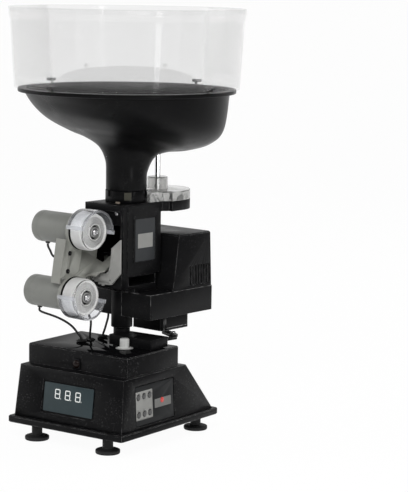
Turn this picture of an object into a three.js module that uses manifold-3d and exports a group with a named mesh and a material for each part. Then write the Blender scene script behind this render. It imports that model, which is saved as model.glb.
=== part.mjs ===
// A table tennis robot: ball hopper, sweeping turret, tilting two-wheel head and control base.
// Millimetres, +Z up. The origin is on the floor under the hopper's axis, and the front looks along -Y.

import * as THREE from 'three';
import { mergeVertices } from 'three/addons/utils/BufferGeometryUtils.js';
import Module from 'manifold-3d';

const wasm = await Module();
wasm.setup();

// Shared clearances and faceting
const fit = {
  gap: 0.3,        // between pieces that touch
  running: 0.6,    // round anything that turns or slides
  overrun: 2,      // how far a cutter reaches past the face it cuts
  weld: 0.0005,    // vertices closer than this are one
};
const facets = { large: 40, wheel: 26, medium: 16, small: 10, corner: 2, arc: 6, perStation: 2 };
const half = 1 / 2;
const right = Math.PI / 2;
const degree = Math.PI / 180;
const fullTurn = 2 * Math.PI;

// Driving dimensions

const stance = {
  turretYaw: -5 * degree,     // the turret as photographed, swung a little to its right
  pivotForward: 7,            // pivot axis in front of the hopper's axis
  headTilt: -9.77 * degree,   // the head as photographed, throwing a little upwards
};

const foot = {
  height: 22.7, padRadius: 17.3, padThickness: 5, shoulder: 1.2, stemRadius: 7.5, studRadius: 3, studLength: 8,
  frontX: 64, frontY: -119.7, rearX: 76, rearY: 72.3,
};

const plate = {
  halfX: 103.2, halfY: 115.5, centreY: -23.7, bottom: 23, thickness: 9.5, floorThickness: 3,
  rim: 5, cornerRadius: 5, chamfer: 1.2, bossRadius: 8, standoffRadius: 4, standoffHeight: 12,
};

const shell = {
  lowHalfX: 97.6, lowHalfY: 108.7, lowCentreY: -23.3,
  shoulderHalfX: 93.8, shoulderHalfY: 73.6, shoulderY: -49.7, shoulderZ: 105.8,
  boxHalfX: 89.8, boxHalfY: 60.2, boxCentreY: -49.8, boxTop: 134.7,
  stepHeight: 1.2, wall: 3.2, cornerRadius: 4, topChamfer: 1.5,
};

const display = {
  centreX: -1, centreZ: 67, width: 88, height: 41, pocketMargin: 3.2, pocketDepth: 2.1, thickness: 1.5,
  openingWidth: 72, openingHeight: 27, cornerRadius: 1.5,
};

const control = {
  centreY: -54, centreZ: 64.8, width: 88, height: 55, pocketMargin: 1.6, pocketDepth: 2.4, thickness: 1.6,
  cornerRadius: 2, buttonColumns: 3, buttonRows: 2, firstColumn: -37.5, columnPitch: 12.7, firstRow: 12.8,
  rowPitch: 24.8, buttonRadius: 4.2, buttonFlange: 5.1, flangeThickness: 1, buttonProud: 1.1,
  openingMargin: 7.2, powerAcross: 16.7, powerUp: 0.6, powerRadius: 4,
};

const receiver = { x: 0, z: 115.6, radius: 5.5, dome: 3, plateWidth: 13, plateHeight: 16, plateThickness: 1 };

const knob = {
  x: 41, y: -54, capRadius: 6.9, capHeight: 12.8, flangeRadius: 9.8, flangeThickness: 1.6, stemRadius: 3,
  stemLength: 9, fluteRadius: 1, flutes: 12, domeHeight: 1.6,
};

const grommet = { radius: 5.2, thickness: 1.8, neckRadius: 3.7, boreRadius: 2.1, tail: 1.6 };
const grommetPlaces = { firstX: -39.9, firstY: -50.2, secondX: -36.7, secondY: -34.8, thirdX: -37.9, thirdY: -3.3 };

const jack = {
  up: 0, across: 34, radius: 6.2, flangeRadius: 8.4, flangeThickness: 1.4, depth: 12, boreRadius: 3, boreDepth: 9,
  pinRadius: 1,
};

const board = {
  thickness: 1.6, halfX: 78, halfY: 62, centreY: -40, moduleWidth: 66, moduleHeight: 24, moduleDepth: 12,
  sinkWidth: 36, sinkHeight: 22, sinkFins: 7, sinkFinThickness: 1.6, sinkDepth: 18, capacitorRadius: 6,
  capacitorHeight: 20, capacitorPitch: 16, capacitorCount: 3,
};

const bracket = {
  postRadius: 12, postHeight: 18.4, pinRadius: 6, pinTop: 195, blockHeight: 13.8, blockRight: 80.8,
  blockFront: -43.8, blockRear: -3.4, blockLeft: 4, cornerRadius: 3, footRadius: 6.4, footHeight: 1.1,
  linkPinX: 52, linkPinY: 5.5, linkPinRadius: 3, capRadius: 5, capThickness: 1.6,
};

const tray = {
  halfX: 66, front: -18.5, rear: 117, bottom: 172.5, top: 208.5, wall: 3, deck: 3, cornerRadius: 3,
  bossRadius: 15.4, bossBottom: 155, boreTop: 198.5, ribDrop: 18,
};

const rearCover = {
  baseHalfX: 64.8, baseFront: 29.4, rear: 116.8, flareZ: 222, flareFront: 33.6, flareHalfX: 64.4,
  topHalfX: 62.2, topFront: 45.5, topRear: 116.2, topZ: 288.3, topChamfer: 2, wall: 2.6, cornerRadius: 3,
  slots: 8, slotWidth: 2.6, slotPitch: 6, slotBottom: 213, slotTop: 241.5, slotCentreY: 90,
};

const housing = {
  left: -37.5, right: 34.2, front: -46, rear: 33, top: 335.3, roof: 9, wall: 3, lowerRear: 28,
  waist: 236, base: 216, footTop: 222, footFront: -18, chamberFloor: 258.5, floorThickness: 3, lipY: -12,
  windowBottom: 238, windowTop: 305, frontWallY: -35, ballBore: 26, sideOpeningTop: 232, sideStrip: 16,
  screwSlotX: 14.9, screwSlotWidth: 4, screwSlotBottom: 319, screwSlotTop: 325.6,
  notchLeft: -26.9, notchRight: -16.8, notchBottom: 217, edge: 1.2,
};

const sideCover = {
  thickness: 3, front: -46, rear: 33, bottom: 234.5, top: 334.4, ridgeWidth: 2, ridgeProud: 1.2,
  firstRidge: -37.6, secondRidge: -25, secondRidgeBottom: 252, secondRidgeTop: 320,
  labelFront: -20.7, labelRear: 21.5, labelBottom: 253, labelTop: 315, labelDepth: 0.8, cornerRadius: 2,
};

const hopper = {
  flangeRadius: 155, flangeThickness: 5.5, flangeTop: 497.6, wall: 3, neckRadius: 29.2, neckFootRadius: 27.8,
  neckStep: 353, mouthRadius: 143.5, lipRadius: 146, shaftHole: 5.1,
};
// The bowl is shallow at the front and deep at the rear: its outline is given for both, from neck to mouth.
const frontOutline = {
  throatZ: 398, throatRadius: 30.5, bendZ: 418, bendRadius: 40, slopeZ: 434, slopeRadius: 62, midZ: 447,
  midRadius: 86, outerZ: 464, outerRadius: 114, rimZ: 482, rimRadius: 134,
};
const rearOutline = {
  throatZ: 376, throatRadius: 30.5, bendZ: 396, bendRadius: 41, slopeZ: 402.5, slopeRadius: 60, midZ: 403.5,
  midRadius: 90, outerZ: 411, outerRadius: 121, rimZ: 432, rimRadius: 139.5,
};

const sleeve = {
  outerRadius: 30, wall: 1.6, height: 16.8, notches: 6, notchWidth: 9, notchDepth: 8, notchTurn: 22 * degree,
};

const collar = {
  footInner: 146, footHeight: 2.6, bottomRadius: 160, wall: 2.2, flareZ: 592, flareRadius: 165.4,
  lipZ: 604, lipRadius: 168.2, top: 611,
};

const clip = {
  count: 4, width: 11, height: 4.2, inner: 146.8, outer: 157, pegAt: 150, pegRadius: 2, pegLength: 9,
  cornerRadius: 1.5,
};

const train = {
  shaftY: 67, gearTeeth: 30, pinionTeeth: 12, module: 1.5, pinionBearing: 196.5 * degree, faceWidth: 6, gearZ: 326,
  addendumShare: 0.8, dedendumShare: 1.12, tipShare: 0.13, rootShare: 0.27, pinionShaftRadius: 3, hubRadius: 6,
  webThickness: 2.4, rimWidth: 3.5,
};

const gearTray = {
  centreY: 70, radius: 46, frontY: 48, neckHalfX: 34, neckFront: 33.3, bottom: 321, top: 335.3, wall: 2.4,
  floor: 2.4,
};

const gearCover = { height: 13.6, wall: 2, front: 13, sleeveClearance: 1.4, cupBore: 11 };

const cup = { radius: 15.2, height: 17.4, wall: 1.8 };

const stirrer = {
  shaftRadius: 4.3, armZ: 420, armRadius: 2.6, armReach: 41, tipRise: 9, hubRadius: 7, hubHeight: 12, tipRadius: 3.4,
  collarRadius: 5.4, collarHeight: 5,
};

const motor = {
  radius: 13, top: 266, neckRadius: 6, neckHeight: 3, flangeRadius: 18, flangeThickness: 2.4, shaftDepth: 12,
};

const feeder = {
  y: 4, z: 243, paddles: 4, paddleRadius: 21, paddleThickness: 3, paddleWidth: 15, hubRadius: 6, shaftRadius: 2.5,
  slotMargin: 1.6, gearboxWidth: 20, gearboxBehind: 16, gearboxAhead: 13, gearboxAbove: 11, gearboxBelow: 16,
  motorRadius: 8.5, motorLength: 22, motorDrop: 4, shaftDepth: 12, endFloat: 1.2,
};

const cheek = {
  y: -52.6, thickness: 3.2, standY: -46.4, topRight: 288, topLeftX: 21.6, topLeft: 275.2, midX: 20.9, midZ: 262,
  kneeX: 17, kneeZ: 242, stepX: 11, footTopZ: 237.5, toeX: -1, toeZ: 236.5, footLeftX: -6, footSideZ: 231.5,
  heelX: -4, footBottomZ: 221, footRightX: 21, footRightZ: 222.4, rightBottomZ: 240, rim: 3, rimProud: 1,
  padLeft: 26, padBottom: 246, padTop: 276, hingeY: -50, hingeZ: 229,
  barrelRadius: 5.2, barrelLeft: -12, barrelRight: 18, pinRadius: 2.5, pinOverhang: 9.6,
  screwX: 3, screwZ: 219.4, screwRadius: 2.2, screwReach: 8,
};

const sweep = {
  gearboxLeft: -17, gearboxRight: 40, gearboxFront: 36, gearboxRear: 96, gearboxBottom: 146, chamfer: 4,
  panelProud: 1.2, panelInset: 5, panelBottom: 150, panelTop: 168, shaftX: 32, shaftY: 54, shaftRadius: 4,
  crankReach: 24.8, crankBearing: -24.3 * degree, crankWidth: 13, crankThickness: 3.9, crankTop: 143.7,
  boltRadius: 4.4, boltHeight: 2, linkWidth: 11, linkThickness: 3, boreDepth: 22, eyeRadius: 2.8,
};

const head = {
  nipY: -80.7, nipZ: 252.5, wheelOffset: 46.3, plateFace: -20.4, plateThickness: 3, discFace: -17.4,
  frontY: -29, midY: 20, rearY: 40, rearTopZ: 34, halfZ: 30, bottomZ: -23.5, riseY: 12.2, neckHalfY: 16,
  lugTopY: 25.3, lugTopZ: -11.5, lugSideY: 28.5, lugRadius: 6.2, heelY: 40.4, heelZ: -16,
  discRadius: 27.5, flangeWidth: 16.8, flangeThickness: 3, flangeHalfZ: 31.4,
  screwY: -15.4, screwZ: 12.8, screwRadius: 2.6, screwHeight: 1.4, screwSocket: 1.4, socketDepth: 1,
  ribY: 6.4, ribWidth: 1.6, ribProud: 0.5, ribTop: 20, ribBottom: -10,
};

// Its section is set out by x and by the height square to the slope, its plan by x and the way along
const chute = {
  slope: 35.2 * degree, thickness: 2.4, wallFoot: -15.7, floor: -20.6, crease: -9.9, lip: -9, stripEnd: 38, end: 56,
  floorStart: 5, noseRight: 4.2, notchStart: 15, notchEnd: 19, floorRight: 9.6,
};

const wheel = {
  radius: 26.6, tyreDepth: 5, back: -15.4, front: 4.2, edge: 2.2, discRadius: 25, discFront: 7.6, discEdge: 1.2,
  ringOuter: 11, ringInner: 9.6, ringRise: 0.8, wellDepth: 5, bossRadius: 7.2, bossRise: 0.6, bossRim: 1.2,
  bossDip: 1.4, nutRadius: 5.2, nutRise: 2.2, spindleRadius: 2.6, spindleDepth: 14,
};

const drive = {
  radius: 22.4, length: 74, fillet: 5, noseRadius: 8, noseHeight: 2, glandRadius: 3, glandHeight: 2,
  glandInset: 16.8,
};

const guard = {
  radius: 31.8, wall: 1.8, front: 14.8, rimInner: 28.6, rimThickness: 1.8, backInner: 25, backThickness: 1.2,
  hemReach: 2, hemThickness: 1.8,
};

const lead = { radius: 1.6, sides: 8, tension: 0.4, entry: 5, tail: 7, pitch: 9 };
const lowerLead = {
  hangX: -72.4, hangY: -69, hangZ: 168.8, sagX: -60, sagY: -61, sagZ: 161.7,
  bendX: -51, bendY: -55.6, bendZ: 153.9, dropX: -44.4, dropY: -52.1, dropZ: 144.4,
};
const upperLead = {
  leaveX: -81.7, leaveY: -69.8, leaveZ: 264.3, hangX: -73.7, hangY: -74.2, hangZ: 256.8,
  behindX: -50.6, behindY: -61.8, behindZ: 245, fallX: -34.8, fallY: -53.2, fallZ: 222,
  runX: -29.3, runY: -47.6, runZ: 190, bendX: -27.4, bendY: -44.4, bendZ: 163.3,
  turnX: -30.7, turnY: -41.4, turnZ: 153.4, dropX: -33.8, dropY: -38.5, dropZ: 142.2,
};
const feedLead = {
  topX: -27.1, topY: -4.5, topZ: 206, underX: -27.1, underY: -4.5, underZ: 168.1,
  bendX: -30.4, bendY: -3.9, bendZ: 157.1, dropX: -34.9, dropY: -4.6, dropZ: 142, deckHole: 3,
};

// Colours and finishes
const finish = {
  black: { color: 0x1c1c1e, roughness: 0.55, metalness: 0 },
  gloss: { color: 0x161618, roughness: 0.25, metalness: 0 },
  grey: { color: 0x8d8d86, roughness: 0.5, metalness: 0 },
  lightGrey: { color: 0xb9b9b4, roughness: 0.5, metalness: 0 },
  white: { color: 0xe8e8e4, roughness: 0.8, metalness: 0 },
  clear: { color: 0xd6dde2, roughness: 0.08, metalness: 0, transparent: true, opacity: 0.35 },
  teal: { color: 0x4b5f63, roughness: 0.3, metalness: 0 },
  red: { color: 0xb9202a, roughness: 0.4, metalness: 0 },
  steel: { color: 0xb8babd, roughness: 0.25, metalness: 1 },
  rubber: { color: 0x19191a, roughness: 0.9, metalness: 0 },
  board: { color: 0x1f5a36, roughness: 0.6, metalness: 0 },
  lens: { color: 0x141416, roughness: 0.1, metalness: 0 },
};

// Solids and simple forms

function volumeOf(position, index) {
  const a = new THREE.Vector3();
  const b = new THREE.Vector3();
  const c = new THREE.Vector3();
  let sum = 0;
  for (let i = 0; i < index.length; i += 3) {
    a.fromArray(position, 3 * index[i]);
    b.fromArray(position, 3 * index[i + 1]);
    c.fromArray(position, 3 * index[i + 2]);
    sum += a.dot(b.cross(c));
  }
  return sum;
}

// A three.js geometry as a closed solid whose faces point out
function solid(geometry) {
  geometry.deleteAttribute('normal');
  geometry.deleteAttribute('uv');
  const merged = mergeVertices(geometry, fit.weld);
  const position = merged.attributes.position.array;
  const source = merged.index.array;
  const faces = [];
  for (let i = 0; i < source.length; i += 3) {
    const [a, b, c] = source.slice(i, i + 3);
    if (a !== b && b !== c && c !== a) faces.push([a, b, c]);
  }
  const inward = volumeOf(position, faces.flat()) < 0;
  const triVerts = Uint32Array.from(faces.flatMap(([a, b, c]) => (inward ? [a, c, b] : [a, b, c])));
  const vertProperties = Float32Array.from(position);
  return new wasm.Manifold(new wasm.Mesh({ numProp: 3, vertProperties, triVerts }));
}

function geometryOf(body) {
  const mesh = body.getMesh();
  const geometry = new THREE.BufferGeometry();
  geometry.setAttribute('position', new THREE.BufferAttribute(Float32Array.from(mesh.vertProperties), 3));
  geometry.setIndex(new THREE.BufferAttribute(Uint32Array.from(mesh.triVerts), 1));
  geometry.computeVertexNormals();
  return geometry;
}

const join = (first, ...rest) => rest.reduce((sum, next) => sum.add(next), first);
const cut = (first, ...rest) => rest.reduce((sum, next) => sum.subtract(next), first);

function block([x0, x1], [y0, y1], [z0, z1]) {
  const box = new THREE.BoxGeometry(x1 - x0, y1 - y0, z1 - z0);
  return box.translate((x0 + x1) * half, (y0 + y1) * half, (z0 + z1) * half);
}

// A profile of [radius, height] points turned about Z
function turned(profile, segments) {
  const points = profile.map(([radius, height]) => new THREE.Vector2(radius, height));
  return new THREE.LatheGeometry(points, segments).rotateX(right);
}

function cylinder(radius, z0, z1, segments = facets.small) {
  return turned([[0, z0], [radius, z0], [radius, z1], [0, z1]], segments);
}

function ring(inner, outer, z0, z1, segments = facets.medium) {
  return turned([[inner, z0], [outer, z0], [outer, z1], [inner, z1], [inner, z0]], segments);
}

function prism(shape, z0, z1, curveSegments = facets.corner) {
  const options = { depth: z1 - z0, bevelEnabled: false, curveSegments };
  return new THREE.ExtrudeGeometry(shape, options).translate(0, 0, z0);
}

function roundedRectangle(x0, x1, y0, y1, radius) {
  const shape = new THREE.Shape();
  shape.absarc(x1 - radius, y0 + radius, radius, -right, 0);
  shape.absarc(x1 - radius, y1 - radius, radius, 0, right);
  shape.absarc(x0 + radius, y1 - radius, radius, right, 2 * right);
  shape.absarc(x0 + radius, y0 + radius, radius, 2 * right, 3 * right);
  shape.closePath();
  return shape;
}

function outline(points) {
  return new THREE.Shape(points.map(([x, y]) => new THREE.Vector2(x, y)));
}

// A closed skin through rounded rectangles stacked along Z; each is { halfX, y0, y1, z, inset }
function stacked(sections, radius) {
  const vertices = [];
  const index = [];
  const perRing = 4 * (facets.corner + 1);
  for (const { halfX, y0, y1, z, inset = 0 } of sections) {
    const r = Math.max(radius - inset, fit.gap);
    const x = halfX - inset - r;
    const low = y0 + inset + r;
    const high = y1 - inset - r;
    const corners = [[x, low, -right], [x, high, 0], [-x, high, right], [-x, low, 2 * right]];
    for (const [cx, cy, from] of corners) {
      for (let k = 0; k <= facets.corner; k += 1) {
        const angle = from + (right * k) / facets.corner;
        vertices.push(cx + r * Math.cos(angle), cy + r * Math.sin(angle), z);
      }
    }
  }
  for (let s = 0; s + 1 < sections.length; s += 1) {
    for (let k = 0; k < perRing; k += 1) {
      const a = s * perRing + k;
      const b = s * perRing + ((k + 1) % perRing);
      index.push(a, b, b + perRing, a, b + perRing, a + perRing);
    }
  }
  const last = (sections.length - 1) * perRing;
  for (let k = 1; k + 1 < perRing; k += 1) {
    index.push(0, k + 1, k, last, last + k, last + k + 1);
  }
  const geometry = new THREE.BufferGeometry();
  geometry.setAttribute('position', new THREE.Float32BufferAttribute(vertices, 3));
  geometry.setIndex(index);
  return geometry;
}

// A round tube through a list of points
function tube(points, radius, sides, steps, tension) {
  const path = new THREE.CatmullRomCurve3(points, false, 'catmullrom', tension);
  const section = new THREE.Shape();
  for (let k = 0; k < sides; k += 1) {
    const angle = (fullTurn * k) / sides;
    const [x, y] = [radius * Math.cos(angle), radius * Math.sin(angle)];
    if (k === 0) section.moveTo(x, y);
    else section.lineTo(x, y);
  }
  section.closePath();
  return new THREE.ExtrudeGeometry(section, { steps, extrudePath: path, bevelEnabled: false });
}

// Turns a form made about Z so that its axis lies along X
const alongX = (geometry) => geometry.rotateY(right);

// Carries a form from a sloping face's own frame (across, up, out) to the part's frame
function onFace(geometry, { origin, across, up }) {
  const out = across.clone().cross(up);
  const basis = new THREE.Matrix4().makeBasis(across, up, out).setPosition(origin);
  return geometry.applyMatrix4(basis);
}

const nodes = {};
function piece(name, body, look) {
  const material = new THREE.MeshStandardMaterial({ ...finish[look] });
  const mesh = new THREE.Mesh(geometryOf(body), material);
  mesh.name = name;
  nodes[name] = mesh;
  return mesh;
}

// Sloping faces of the base shell

function slopeFace(low, high, across) {
  const up = high.clone().sub(low).normalize();
  return { origin: low, across, up };
}

const shellBottom = plate.bottom + plate.thickness + fit.gap;
const shellRise = shell.shoulderZ - shellBottom;
const faces = {
  front: slopeFace(
    new THREE.Vector3(0, shell.lowCentreY - shell.lowHalfY, shellBottom),
    new THREE.Vector3(0, shell.shoulderY - shell.shoulderHalfY, shell.shoulderZ),
    new THREE.Vector3(1, 0, 0),
  ),
  right: slopeFace(
    new THREE.Vector3(shell.lowHalfX, 0, shellBottom),
    new THREE.Vector3(shell.shoulderHalfX, 0, shell.shoulderZ),
    new THREE.Vector3(0, 1, 0),
  ),
  rear: slopeFace(
    new THREE.Vector3(0, shell.lowCentreY + shell.lowHalfY, shellBottom),
    new THREE.Vector3(0, shell.shoulderY + shell.shoulderHalfY, shell.shoulderZ),
    new THREE.Vector3(-1, 0, 0),
  ),
};
const frontSlope = Math.hypot(shellRise, shell.lowCentreY - shell.lowHalfY - shell.shoulderY + shell.shoulderHalfY);
const rearSlope = Math.hypot(shellRise, shell.lowCentreY + shell.lowHalfY - shell.shoulderY - shell.shoulderHalfY);
const onFront = (z) => ((z - shellBottom) * frontSlope) / shellRise;
const onRight = (z) => ((z - shellBottom) * Math.hypot(shellRise, shell.lowHalfX - shell.shoulderHalfX)) / shellRise;

// Base

const footPlaces = [
  [-foot.frontX, foot.frontY], [foot.frontX, foot.frontY], [foot.rearX, foot.rearY], [-foot.rearX, foot.rearY],
];
const boardZ = plate.bottom + plate.floorThickness + plate.standoffHeight;

function basePlate() {
  const top = plate.bottom + plate.thickness;
  const span = { y0: plate.centreY - plate.halfY, y1: plate.centreY + plate.halfY };
  const body = solid(stacked([
    { ...span, halfX: plate.halfX, z: plate.bottom, inset: plate.chamfer },
    { ...span, halfX: plate.halfX, z: plate.bottom + plate.chamfer },
    { ...span, halfX: plate.halfX, z: top - plate.chamfer },
    { ...span, halfX: plate.halfX, z: top, inset: plate.chamfer },
  ], plate.cornerRadius));
  const rim = shell.wall + plate.rim + plate.halfX - shell.lowHalfX;
  const pocket = solid(stacked([
    { ...span, halfX: plate.halfX, z: plate.bottom + plate.floorThickness, inset: rim },
    { ...span, halfX: plate.halfX, z: top + fit.overrun, inset: rim },
  ], plate.cornerRadius));
  const floorZ = plate.bottom + plate.floorThickness - fit.gap;
  const bosses = footPlaces.map(([x, y]) => solid(cylinder(plate.bossRadius, floorZ, top).translate(x, y, 0)));
  const standX = board.halfX - 2 * plate.standoffRadius;
  const standY = board.halfY - 2 * plate.standoffRadius;
  const standoffs = [-1, 1].flatMap((sx) => [-1, 1].map((sy) => (
    solid(cylinder(plate.standoffRadius, floorZ, boardZ).translate(sx * standX, board.centreY + sy * standY, 0)))));
  const bores = footPlaces.map(([x, y]) => (
    solid(cylinder(foot.studRadius + fit.running, 0, top + fit.overrun).translate(x, y, 0))));
  return cut(join(cut(body, pocket), ...bosses, ...standoffs), ...bores);
}

function shellSkin(inset, bottom, top) {
  const along = (centre, extent) => ({ y0: centre - extent, y1: centre + extent });
  const low = along(shell.lowCentreY, shell.lowHalfY);
  const shoulder = along(shell.shoulderY, shell.shoulderHalfY);
  const box = along(shell.boxCentreY, shell.boxHalfY);
  const step = shell.shoulderZ + shell.stepHeight;
  const drop = inset > 0 ? inset * half : 0;
  return stacked([
    { ...low, halfX: shell.lowHalfX, z: bottom, inset },
    { ...shoulder, halfX: shell.shoulderHalfX, z: shell.shoulderZ - drop, inset },
    { ...box, halfX: shell.boxHalfX, z: step - drop, inset },
    { ...box, halfX: shell.boxHalfX, z: top - shell.topChamfer, inset },
    { ...box, halfX: shell.boxHalfX, z: top, inset: inset + shell.topChamfer },
  ], shell.cornerRadius);
}

const buttonPlaces = [];
for (let row = 0; row < control.buttonRows; row += 1) {
  for (let column = 0; column < control.buttonColumns; column += 1) {
    buttonPlaces.push([
      control.centreY + control.firstColumn + column * control.columnPitch,
      onRight(control.centreZ) + control.firstRow - row * control.rowPitch,
    ]);
  }
}
const powerPlace = [control.centreY + control.powerAcross, onRight(control.centreZ) + control.powerUp];
const panelBack = -control.pocketDepth + fit.gap;
const panelFront = panelBack + control.thickness;

function controlOpening(margin, depth, rise) {
  const last = buttonPlaces[buttonPlaces.length - 1];
  const first = buttonPlaces[0];
  return roundedBlock(
    [first[0] - margin, last[0] + margin], [last[1] - margin, first[1] + margin], [-depth, rise], control.cornerRadius,
  );
}

function roundedBlock([x0, x1], [y0, y1], [z0, z1], radius) {
  return prism(roundedRectangle(x0, x1, y0, y1, radius), z0, z1);
}

function faceBlock(centreX, centreY, width, height, z0, z1, radius) {
  const [w, h] = [width * half, height * half];
  return roundedBlock([centreX - w, centreX + w], [centreY - h, centreY + h], [z0, z1], radius);
}

const grommetXY = [
  [grommetPlaces.firstX, grommetPlaces.firstY],
  [grommetPlaces.secondX, grommetPlaces.secondY],
  [grommetPlaces.thirdX, grommetPlaces.thirdY],
];
const through = shell.wall + fit.overrun;
const jackUp = rearSlope * half + jack.up;

function baseShell() {
  const outer = solid(shellSkin(0, shellBottom, shell.boxTop));
  const inner = solid(shellSkin(shell.wall, shellBottom - fit.overrun, shell.boxTop - shell.wall));
  const up = onFront(display.centreZ);
  const margin = 2 * display.pocketMargin;
  const displayPocket = faceBlock(display.centreX, up, display.width + margin, display.height + margin,
    -display.pocketDepth, fit.overrun, display.cornerRadius);
  const displayOpening = faceBlock(display.centreX, up, display.openingWidth, display.openingHeight,
    -through, fit.overrun, display.cornerRadius);
  const controlMargin = 2 * control.pocketMargin;
  const controlPocket = faceBlock(control.centreY, onRight(control.centreZ), control.width + controlMargin,
    control.height + controlMargin, -control.pocketDepth, fit.overrun, control.cornerRadius);
  const buttonsOpening = controlOpening(control.openingMargin, through, fit.overrun);
  const powerOpening = cylinder(control.buttonFlange + fit.running, -through, fit.overrun)
    .translate(powerPlace[0], powerPlace[1], 0);
  const lensHole = cylinder(receiver.radius + fit.gap, -fit.overrun, through).rotateX(-right)
    .translate(receiver.x, shell.boxCentreY - shell.boxHalfY, receiver.z);
  const topHole = (radius, x, y) => (
    solid(cylinder(radius, shell.boxTop - through, shell.boxTop + fit.overrun).translate(x, y, 0)));
  const jackHole = cylinder(jack.radius + fit.gap, -through - fit.overrun, fit.overrun)
    .translate(-jack.across, jackUp, 0);
  return cut(
    outer, inner,
    solid(onFace(displayPocket, faces.front)), solid(onFace(displayOpening, faces.front)),
    solid(onFace(controlPocket, faces.right)), solid(onFace(buttonsOpening, faces.right)),
    solid(onFace(powerOpening, faces.right)), solid(lensHole), solid(onFace(jackHole, faces.rear)),
    topHole(knob.stemRadius + fit.running, knob.x, knob.y),
    ...grommetXY.map(([x, y]) => topHole(grommet.neckRadius + fit.gap, x, y)),
  );
}

function displayPanel() {
  const back = -display.pocketDepth + fit.gap;
  const body = faceBlock(display.centreX, onFront(display.centreZ), display.width, display.height,
    back, back + display.thickness, display.cornerRadius);
  return solid(onFace(body, faces.front));
}

function controlPanel() {
  const [y, z] = [control.centreY, onRight(control.centreZ)];
  const body = solid(faceBlock(y, z, control.width, control.height, panelBack, panelFront, control.cornerRadius));
  const holes = [...buttonPlaces, powerPlace].map(([across, up], i) => {
    const radius = (i < buttonPlaces.length ? control.buttonRadius : control.powerRadius) + fit.gap;
    return solid(cylinder(radius, panelBack - fit.overrun, fit.overrun).translate(across, up, 0));
  });
  return solid(onFace(geometryOf(cut(body, ...holes)), faces.right));
}

function pushButton([across, up], radius) {
  const flangeTop = panelBack - fit.gap;
  const top = panelFront + control.buttonProud;
  const edge = control.flangeThickness * half;
  const body = turned([
    [0, flangeTop - control.flangeThickness], [control.buttonFlange, flangeTop - control.flangeThickness],
    [control.buttonFlange, flangeTop], [radius, flangeTop], [radius, top - edge], [radius - edge, top], [0, top],
  ], facets.small);
  return solid(onFace(body.translate(across, up, 0), faces.right));
}

function receiverLens() {
  const y = shell.boxCentreY - shell.boxHalfY;
  const front = receiver.plateThickness + fit.gap;
  const dome = Array.from({ length: facets.corner + 1 }, (_, k) => {
    const angle = (right * k) / facets.corner;
    return [receiver.radius * Math.cos(angle), front + receiver.dome * Math.sin(angle)];
  });
  const body = turned([[0, -through], [receiver.radius, -through], ...dome.slice(0, -1), [0, front + receiver.dome]],
    facets.small);
  const backing = faceBlock(0, 0, receiver.plateWidth, receiver.plateHeight, fit.gap, front, display.cornerRadius);
  const upright = (geometry) => geometry.rotateX(right).translate(receiver.x, y, receiver.z);
  return join(solid(upright(body)), solid(upright(backing)));
}

function sweepKnob() {
  const base = shell.boxTop + fit.gap;
  const top = base + knob.flangeThickness + knob.capHeight;
  const body = solid(turned([
    [0, base - knob.stemLength], [knob.stemRadius, base - knob.stemLength], [knob.stemRadius, base],
    [knob.flangeRadius, base], [knob.flangeRadius, base + knob.flangeThickness * half],
    [knob.flangeRadius - knob.flangeThickness * half, base + knob.flangeThickness],
    [knob.capRadius, base + knob.flangeThickness],
    [knob.capRadius, top - knob.domeHeight], [knob.capRadius - knob.domeHeight, top - knob.domeHeight * half * half],
    [0, top],
  ], facets.medium));
  const flutes = Array.from({ length: knob.flutes }, (_, k) => {
    const angle = (fullTurn * k) / knob.flutes;
    const reach = knob.capRadius + knob.fluteRadius * half;
    const flute = cylinder(knob.fluteRadius, base + 2 * knob.flangeThickness, top + fit.overrun, facets.corner * 2);
    return solid(flute.translate(reach * Math.cos(angle), reach * Math.sin(angle), 0));
  });
  return cut(body, ...flutes).translate([knob.x, knob.y, 0]);
}

function cableGrommet([x, y]) {
  const top = shell.boxTop;
  const under = top - shell.wall - fit.gap;
  const { radius, thickness, neckRadius, boreRadius, tail } = grommet;
  return solid(turned([
    [boreRadius, under - tail], [neckRadius, under - tail], [neckRadius, top + fit.gap], [radius, top + fit.gap],
    [radius, top + fit.gap + thickness * half], [neckRadius, top + fit.gap + thickness],
    [boreRadius, top + fit.gap + thickness], [boreRadius, under - tail],
  ], facets.small).translate(x, y, 0));
}

function powerJack() {
  const { radius, flangeRadius, flangeThickness, depth, boreRadius, boreDepth, pinRadius } = jack;
  const out = flangeThickness + fit.gap;
  const body = turned([
    [0, -depth], [radius, -depth], [radius, fit.gap], [flangeRadius, fit.gap], [flangeRadius, out],
    [boreRadius, out], [boreRadius, out - boreDepth], [pinRadius, out - boreDepth], [pinRadius, 0], [0, 0],
  ], facets.small).translate(-jack.across, jackUp, 0);
  return solid(onFace(body, faces.rear));
}

function circuitBoard() {
  const z = boardZ + fit.gap;
  const top = z + board.thickness;
  const y0 = board.centreY - board.halfY;
  const card = solid(block([-board.halfX, board.halfX], [y0, board.centreY + board.halfY], [z, top]));
  const moduleX = board.moduleWidth * half;
  const digits = solid(block([-moduleX, moduleX], [y0, y0 + board.moduleDepth], [z, top + board.moduleHeight]));
  const fins = Array.from({ length: board.sinkFins }, (_, k) => {
    const x = -board.sinkWidth * half + (board.sinkWidth * k) / (board.sinkFins - 1);
    const thick = board.sinkFinThickness * half;
    return solid(block([x - thick, x + thick], [board.centreY, board.centreY + board.sinkDepth],
      [z, top + board.sinkHeight]));
  });
  const cans = Array.from({ length: board.capacitorCount }, (_, k) => (
    solid(cylinder(board.capacitorRadius, z, top + board.capacitorHeight)
      .translate((k - 1) * board.capacitorPitch, board.centreY + board.halfY - board.capacitorPitch, 0))));
  return join(card, digits, ...fins, ...cans);
}

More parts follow.
